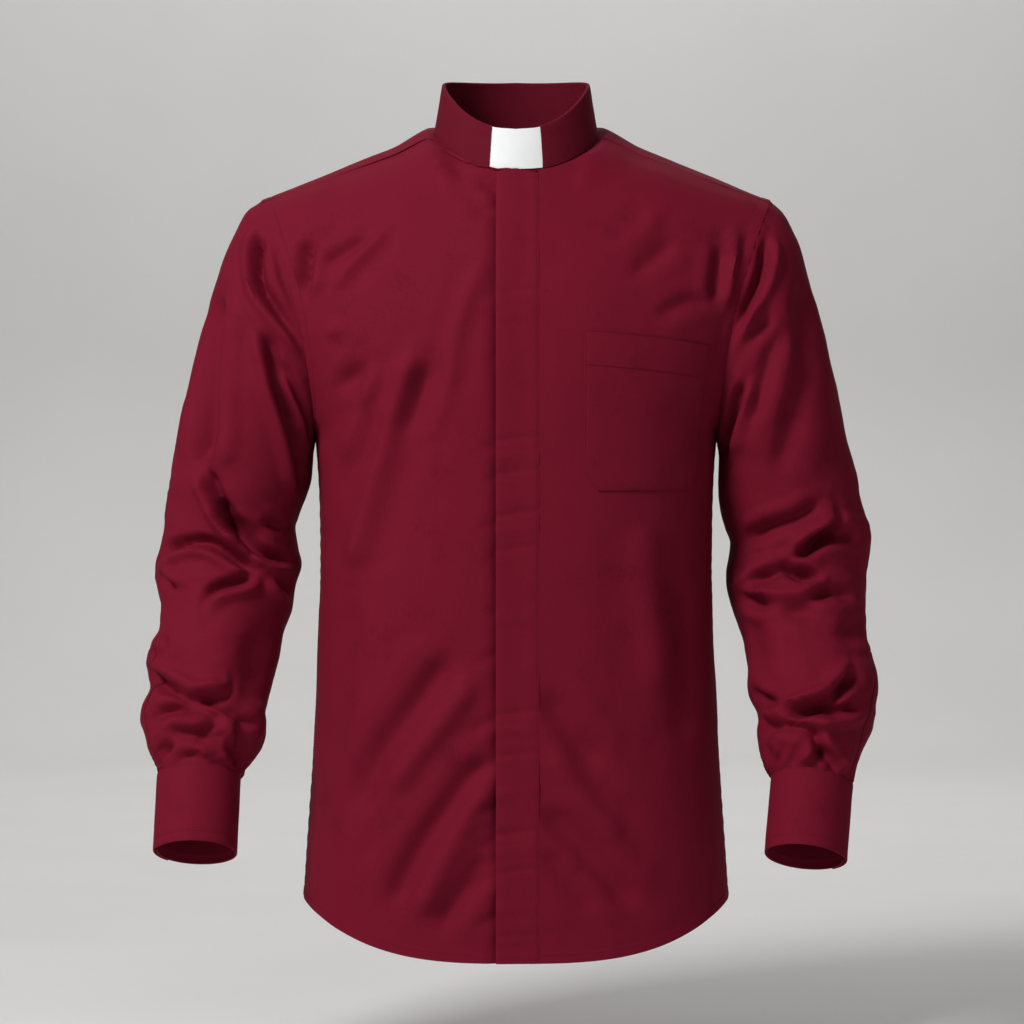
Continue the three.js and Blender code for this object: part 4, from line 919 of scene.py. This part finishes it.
def make_sleeve(name, side, rings, front_creases, back_creases, finish, thread):
    at = np.linspace(0, len(rings) - 1, SLEEVE_ROWS + 1)
    turn = np.radians(np.linspace(0, 360, SLEEVE_STEPS + 1))
    turn[-1] = 0
    middle, across, forward = ring_frames(rings, at)
    grid = middle[:, None] + round_ring(across, forward, turn)
    armhole = np.array([armhole_point(180 - math.degrees(angle)) for angle in turn])
    grid += (armhole - grid[0]) * (1 - ease(0, 2.5, at))[:, None, None]
    flat = on_side(grid, side)
    facing = np.sin(turn)[::side][None, :]
    along, _, from_armhole, from_cuff = edge_distances(flat)
    front = crease_amount(flat, front_creases) * ease(0.05, 0.5, facing)
    back = crease_amount(flat, back_creases) * ease(0.05, 0.5, -facing)
    low = ease(200, 330, from_armhole)
    rumples = noise_at(flat, (46, 46, 26), 40 + side) * mix(1.2, 3.4, low)
    fine = (0.5 - np.abs(noise_at(flat, (30, 30, 15), 50 + side))) * mix(0.4, 1.8, low)
    ends = ease(0, 18, from_armhole) * ease(0, 12, from_cuff)
    amount = (smoothed(front + back, 2) + rumples + fine) * ends
    amount += pucker(from_cuff, along, 34, 2.4, 17) * ease(-5, 10, from_cuff)
    amount += pucker(from_armhole, along, 22, 0.4, 14)
    from_outer_side = (np.degrees(turn)[::side] + 180) % 360 - 180
    # The sleeve's end follows the cuff's lapped end out.
    amount += 2.3 * (1 - ease(0, 9, from_cuff)) * (1 - ease(26, 44, np.abs(from_outer_side + 18)))
    sewn = raised(flat, amount)
    sewn[:, -1] = sewn[:, 0] = (sewn[:, 0] + sewn[:, -1]) / 2
    piece = cloth_piece(f"sleeve_{name}_cloth", [sewn], f"sleeve_{name}", finish)
    make_sleeve_placket(name, side, sewn, flat, finish, thread)


def make_sleeve_placket(name, side, sewn, flat, finish, thread):
    """The strip over the slit that runs up from the cuff on the arm's outer side."""
    columns = slice(SLEEVE_PLACKET_COLUMNS) if side > 0 else slice(-SLEEVE_PLACKET_COLUMNS, None)
    edges = (0, 0.8, 1.8)
    strips = []
    for grid in (sewn, flat):
        lifted = raised(grid, np.full(grid.shape[:2], SLEEVE_PLACKET_LIFT))
        strip = space_columns(lifted[SLEEVE_PLACKET_ROWS, columns], edges, edges)
        strips.append(space_rows(strip, (0, 0.8, 2), (0, 1)))
    strip = strips[0]
    sew_piece(f"sleeve_placket_{name}", [strip], [strips[1]], [
        column_line_of(strip, 2, 2, -2), column_line_of(strip, -3, 2, -2),
        row_line_of(strip[:, 2:-2], 2),
    ], finish, thread, "laid", [f"sleeve_{name}_cloth"], thickness=0.7)


def cuff_point(rings, side, angle, down, lift):
    """On the cuff's outer face, at an angle round the wrist and a distance below the sleeve."""
    middle, across, forward = (part[0] for part in ring_frames(rings, np.array([len(rings) - 1.0])))
    turn = math.radians(angle)
    axis = np.cross(across, forward)
    axis /= np.linalg.norm(axis)
    round_point = across * math.cos(turn) + forward * math.sin(turn)
    out = round_point / np.linalg.norm(round_point)
    lapped = CUFF_LAP * float(1 - ease(CUFF_UNDER_END - 360, CUFF_RAMP_TO, angle))
    point = middle + round_point + axis * down + out * (CUFF_FLARE + lapped + lift)
    return point * np.array((side, 1, 1))


def make_cuff(name, side, rings, finish, thread):
    angles = np.arange(CUFF_OVER_END, CUFF_UNDER_END + 0.1, 3)
    downs = np.linspace(-1.2, CUFF_LENGTH, 19)
    flat = np.array([[cuff_point(rings, side, angle, down, 0) for angle in angles] for down in downs])
    flat = flat if side > 0 else flat[:, ::-1]
    flat = space_rows(space_columns(flat, (0, 1, 2.2, 3.4), (0, 1, 2.2, 3.4)),
                      (0, 0.8, 1.8, 3), (0, 1, 8.2, 9, 9.8, 14))
    first, last, from_top, from_rim = edge_distances(flat)
    from_end = np.minimum(first, last)
    amount = noise_at(flat, (38, 38, 30), 60 + side) * 0.5 * ease(0, 12, np.minimum(from_top, from_rim))
    amount += groove(from_rim - 9, 0.25) + groove(from_top - 1.8, 0.25) + groove(from_end - 2.2, 0.2)
    amount -= 0.5 * (1 - ease(0, 1.4, from_top)) + 0.35 * (1 - ease(0, 1.2, from_rim))
    amount += pucker(from_top, first, 9, 0.22, 9)
    sewn = raised(flat, amount)
    sew_piece(f"cuff_{name}", [sewn], [flat], [
        row_line_of(sewn[:, 2:-2], 2), row_line_of(sewn[:, 2:-2], -4),
        column_line_of(sewn, 2, 2, -4), column_line_of(sewn, -3, 2, -4),
    ], finish, thread, rests_on=[f"sleeve_{name}_cloth"], thickness=1.8, rim_round=0.4)


# ---- Collar ----
def collar_grid(angles, section):
    """A strip of the collar. Each line of its section is (part of the height, distance out from
    the outer face, rise)."""
    rows = []
    for up, out, rise in section:
        row = []
        for angle in angles:
            turn = math.radians(angle)
            away = np.array((
                (NECK_BACK - NECK_FRONT) / 2 * math.sin(turn), -NECK_HALF_WIDTH * math.cos(turn), 0))
            away /= np.linalg.norm(away)
            row.append(neck_point(angle, up) + away * out + np.array((0, 0, rise)))
        rows.append(row)
    return np.array(rows)


def make_collar(finish, thread):
    face = [(up, 0.0, 0.0) for up in np.linspace(0.02, 0.97, 16)]
    turned_edge = [(1, -0.1, -0.3), (1, -0.45, 0.25), (1, -1.2, 0.6), (1, -2.0, 0.6), (1, -2.7, 0.3),
                   (1, -3.1, -0.4), (0.96, -3.15, 0), (0.9, -3.1, 0)]
    round_back = np.linspace(WINDOW_REACH, 360 - WINDOW_REACH, 162)
    flat = collar_grid(round_back, face + turned_edge)
    _, _, up, _ = edge_distances(flat)
    amount = noise_at(flat, (34, 34, 26), 70) * 0.55 * ease(0, 8, up)
    amount *= 1 - ease(28, 34, up)
    amount += groove(up - 2.4, 0.2, 1.6)
    outer = raised(flat, amount)
    inner_rows = [(up, -2.05, 0.0) for up in np.linspace(-0.05, 0.985, 14)]
    inner = collar_grid(np.linspace(0.2, 359.8, 181), inner_rows)
    stitches = stitching("stitching_collar", [row_line_of(outer, 1)], "collar_band", thread)
    inner_layer, piece = (
        cloth_piece(f"collar_{name}_layer", [grid], "collar_band", finish, thickness, "collar_poplin")
        for name, grid, thickness in (("inner", inner, 0.9), ("outer", outer, 0.7)))


# ---- Buttons and tab ----
def select_faces(piece, wanted):
    """Leaves just the wanted faces selected, in edit mode."""
    bpy.ops.object.mode_set(mode="EDIT")
    bpy.ops.mesh.select_mode(type="FACE")
    bpy.ops.mesh.select_all(action="DESELECT")
    bpy.ops.object.mode_set(mode="OBJECT")
    for face in piece.data.polygons:
        face.select = wanted(face)
    bpy.ops.object.mode_set(mode="EDIT")


def use_modifier(piece, kind, **settings):
    modifier = piece.modifiers.new(kind.lower(), kind)
    for name, value in settings.items():
        setattr(modifier, name, value)
    bpy.ops.object.modifier_apply(modifier=modifier.name)


def make_button(name, seat, out, finish, thread):
    """A four-hole shirt button with a dished middle, sewn on with crossed thread."""
    bpy.ops.object.select_all(action="DESELECT")
    bpy.ops.mesh.primitive_cylinder_add(vertices=48, radius=BUTTON_RADIUS * MM,
                                        depth=BUTTON_THICKNESS * MM)
    button = bpy.context.object
    button.name = f"button_{name}"
    select_faces(button, lambda face: face.normal.z > 0.9)
    bpy.ops.mesh.inset(thickness=1.1 * MM)
    bpy.ops.mesh.inset(thickness=0.5 * MM)
    bpy.ops.transform.translate(value=(0, 0, -0.7 * MM))
    bpy.ops.object.mode_set(mode="OBJECT")
    for x, y in ((1, 1), (1, -1), (-1, 1), (-1, -1)):
        bpy.ops.object.select_all(action="DESELECT")
        across, along = BUTTON_HOLE_OFFSET * x * MM, BUTTON_HOLE_OFFSET * y * MM
        bpy.ops.mesh.primitive_cylinder_add(vertices=16, radius=BUTTON_HOLE_RADIUS * MM,
                                            depth=6 * MM, location=(across, along, 0))
        drill = bpy.context.object
        bpy.context.view_layer.objects.active = button
        use_modifier(button, "BOOLEAN", object=drill, operation="DIFFERENCE", solver="EXACT")
        bpy.data.objects.remove(drill)
    use_modifier(button, "BEVEL", width=0.28 * MM, segments=2, limit_method="ANGLE",
                 angle_limit=math.radians(40))
    bars = []
    for quarter in (1, -1):
        bpy.ops.object.select_all(action="DESELECT")
        bpy.ops.mesh.primitive_cylinder_add(vertices=10, radius=0.34 * MM, depth=3.9 * MM,
                                            location=(0, 0, (0.62 + 0.12 * quarter) * MM),
                                            rotation=(math.radians(90), 0, math.radians(45 * quarter)))
        bars.append(bpy.context.object)
        bpy.ops.object.transform_apply(location=True, rotation=True, scale=True)
        use_modifier(bars[-1], "BEVEL", width=0.2 * MM, segments=2, limit_method="ANGLE")
    for bar in bars:
        bar.select_set(True)
    bpy.ops.object.join()
    sewing = bpy.context.object
    sewing.name = f"button_thread_{name}"
    facing = Vector(out).to_track_quat("Z", "Y").to_matrix().to_4x4()
    for piece, piece_finish, slot in ((button, finish, "button_plastic"), (sewing, thread, "poplin")):
        bpy.ops.object.select_all(action="DESELECT")
        piece.select_set(True)
        bpy.context.view_layer.objects.active = piece
        piece.matrix_world = facing
        piece.location = Vector(seat) * MM
        bpy.ops.object.transform_apply(location=True, rotation=True, scale=True)
        bpy.ops.object.shade_smooth_by_angle(angle=math.radians(35))
        finish_piece(piece, f"cuff_button_{name}", piece_finish)


def make_tab(finish):
    """The tab keeps its modelled strip and takes a satin plastic."""
    tab = bpy.data.objects["collar_tab"]
    for slot in tab.material_slots:
        slot.link = "OBJECT"
        slot.material = finish


# ---- Studio ----
def make_studio():
    """A pale sweep: a floor that curves up into a wall behind the shirt."""
    finish = plain_finish("matte painted studio sweep", "#D7D6D4", "#DAD9D7", 3, 0.9, 0.02)
    floor, wall, bend, half_width, top = -0.86, 4.6, 0.9, 6, 4.5
    section = [(-half_width, floor), (-1.5, floor), (wall - bend, floor)]
    section += [(wall - bend + bend * math.sin(a), floor + bend * (1 - math.cos(a)))
                for a in np.radians(np.linspace(5, 90, 18))]
    section.append((wall, top))
    points = [(x, y, z) for y, z in section for x in (-half_width, half_width)]
    faces = [(2 * i, 2 * i + 1, 2 * i + 3, 2 * i + 2) for i in range(len(section) - 1)]
    sweep = link_mesh("studio_sweep", np.array(points) / MM, faces)
    sweep.data.shade_smooth()
    sweep.data.materials.append(finish)


def add_light(name, place, target, size, power):
    lamp = bpy.data.lights.new(name, "AREA")
    lamp.shape, lamp.size, lamp.energy = "SQUARE", size, power
    light = bpy.data.objects.new(name, lamp)
    bpy.context.collection.objects.link(light)
    light.location = place
    light.rotation_euler = (Vector(target) - Vector(place)).to_track_quat("-Z", "Y").to_euler()


def light_studio():
    add_light("key", (-1.7, -1.9, 1.7), (0, 0, -0.4), 0.9, 94)
    add_light("fill", (1.6, -2.8, 0.3), (0, 0, -0.4), 1.8, 9)
    add_light("top", (-0.2, 0.1, 2.0), (0, 0, -0.3), 1.4, 1.5)
    add_light("rear", (0.9, 2.4, 1.5), (0, 0, -0.35), 1.2, 8)
    add_light("backdrop", (0, 3.0, 3.2), (0, 4.6, 0), 3.2, 90)
    world = bpy.data.worlds.new("soft room light")
    world.use_nodes = True
    world.node_tree.nodes["Background"].inputs["Color"].default_value = colour("#ECECEE")
    world.node_tree.nodes["Background"].inputs["Strength"].default_value = 0.15
    bpy.context.scene.world = world
    bpy.context.scene.view_settings.view_transform = "Standard"  # colours as they are


def add_camera():
    """Level with the chest, three metres in front."""
    lens = bpy.data.cameras.new("camera")
    lens.lens, lens.sensor_width = 113.4, 36
    camera = bpy.data.objects.new("camera", lens)
    bpy.context.collection.objects.link(camera)
    camera.location = (-0.0037, -3.0, -0.346)
    camera.rotation_euler = (math.radians(90), 0, 0)
    bpy.context.scene.camera = camera


# ---- The scene ----
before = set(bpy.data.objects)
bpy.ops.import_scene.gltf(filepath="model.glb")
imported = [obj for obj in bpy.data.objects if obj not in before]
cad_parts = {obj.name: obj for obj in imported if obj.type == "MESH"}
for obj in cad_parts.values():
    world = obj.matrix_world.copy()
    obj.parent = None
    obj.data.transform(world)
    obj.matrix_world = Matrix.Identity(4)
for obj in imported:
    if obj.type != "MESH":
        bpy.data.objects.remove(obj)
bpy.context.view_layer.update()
add_camera()
shirt_cloth = poplin("woven cotton poplin", "#651225", "#701529")
# The collar's poplin is a darker copy of the shirt's, with shade painted into its colour.
shaded_collar_cloth = poplin("woven cotton poplin darkened for painted shade", "#5C101F", "#641525")
sewing_thread = plain_finish("polyester sewing thread", "#560E1D", "#641225", 900, 0.6, 0.2, 0.05)
tab_plastic = plain_finish("flexible white plastic", "#F0F1F2", "#F6F7F8", 60, 0.38, 0.03)
button_plastic = plain_finish("dyed polyester button", "#460B19", "#551122", 260, 0.28, 0.05)
for make in (make_fronts, make_placket, make_pocket, make_yoke, make_back):
    make(shirt_cloth, sewing_thread)
make_sleeve("right", -1, RIGHT_RINGS, RIGHT_SLEEVE_FRONT, RIGHT_SLEEVE_BACK, shirt_cloth, sewing_thread)
make_sleeve("left", 1, LEFT_RINGS, LEFT_SLEEVE_FRONT, LEFT_SLEEVE_BACK, shirt_cloth, sewing_thread)
for name, side, rings in (("right", -1, RIGHT_RINGS), ("left", 1, LEFT_RINGS)):
    make_cuff(name, side, rings, shirt_cloth, sewing_thread)
    seat, above = (cuff_point(rings, side, CUFF_BUTTON_ANGLE, CUFF_LENGTH / 2, lift)
                   for lift in (1.3, 2.3))
    make_button(name, seat, above - seat, button_plastic, sewing_thread)
make_collar(shaded_collar_cloth, sewing_thread)
make_tab(tab_plastic)
make_studio()
light_studio()
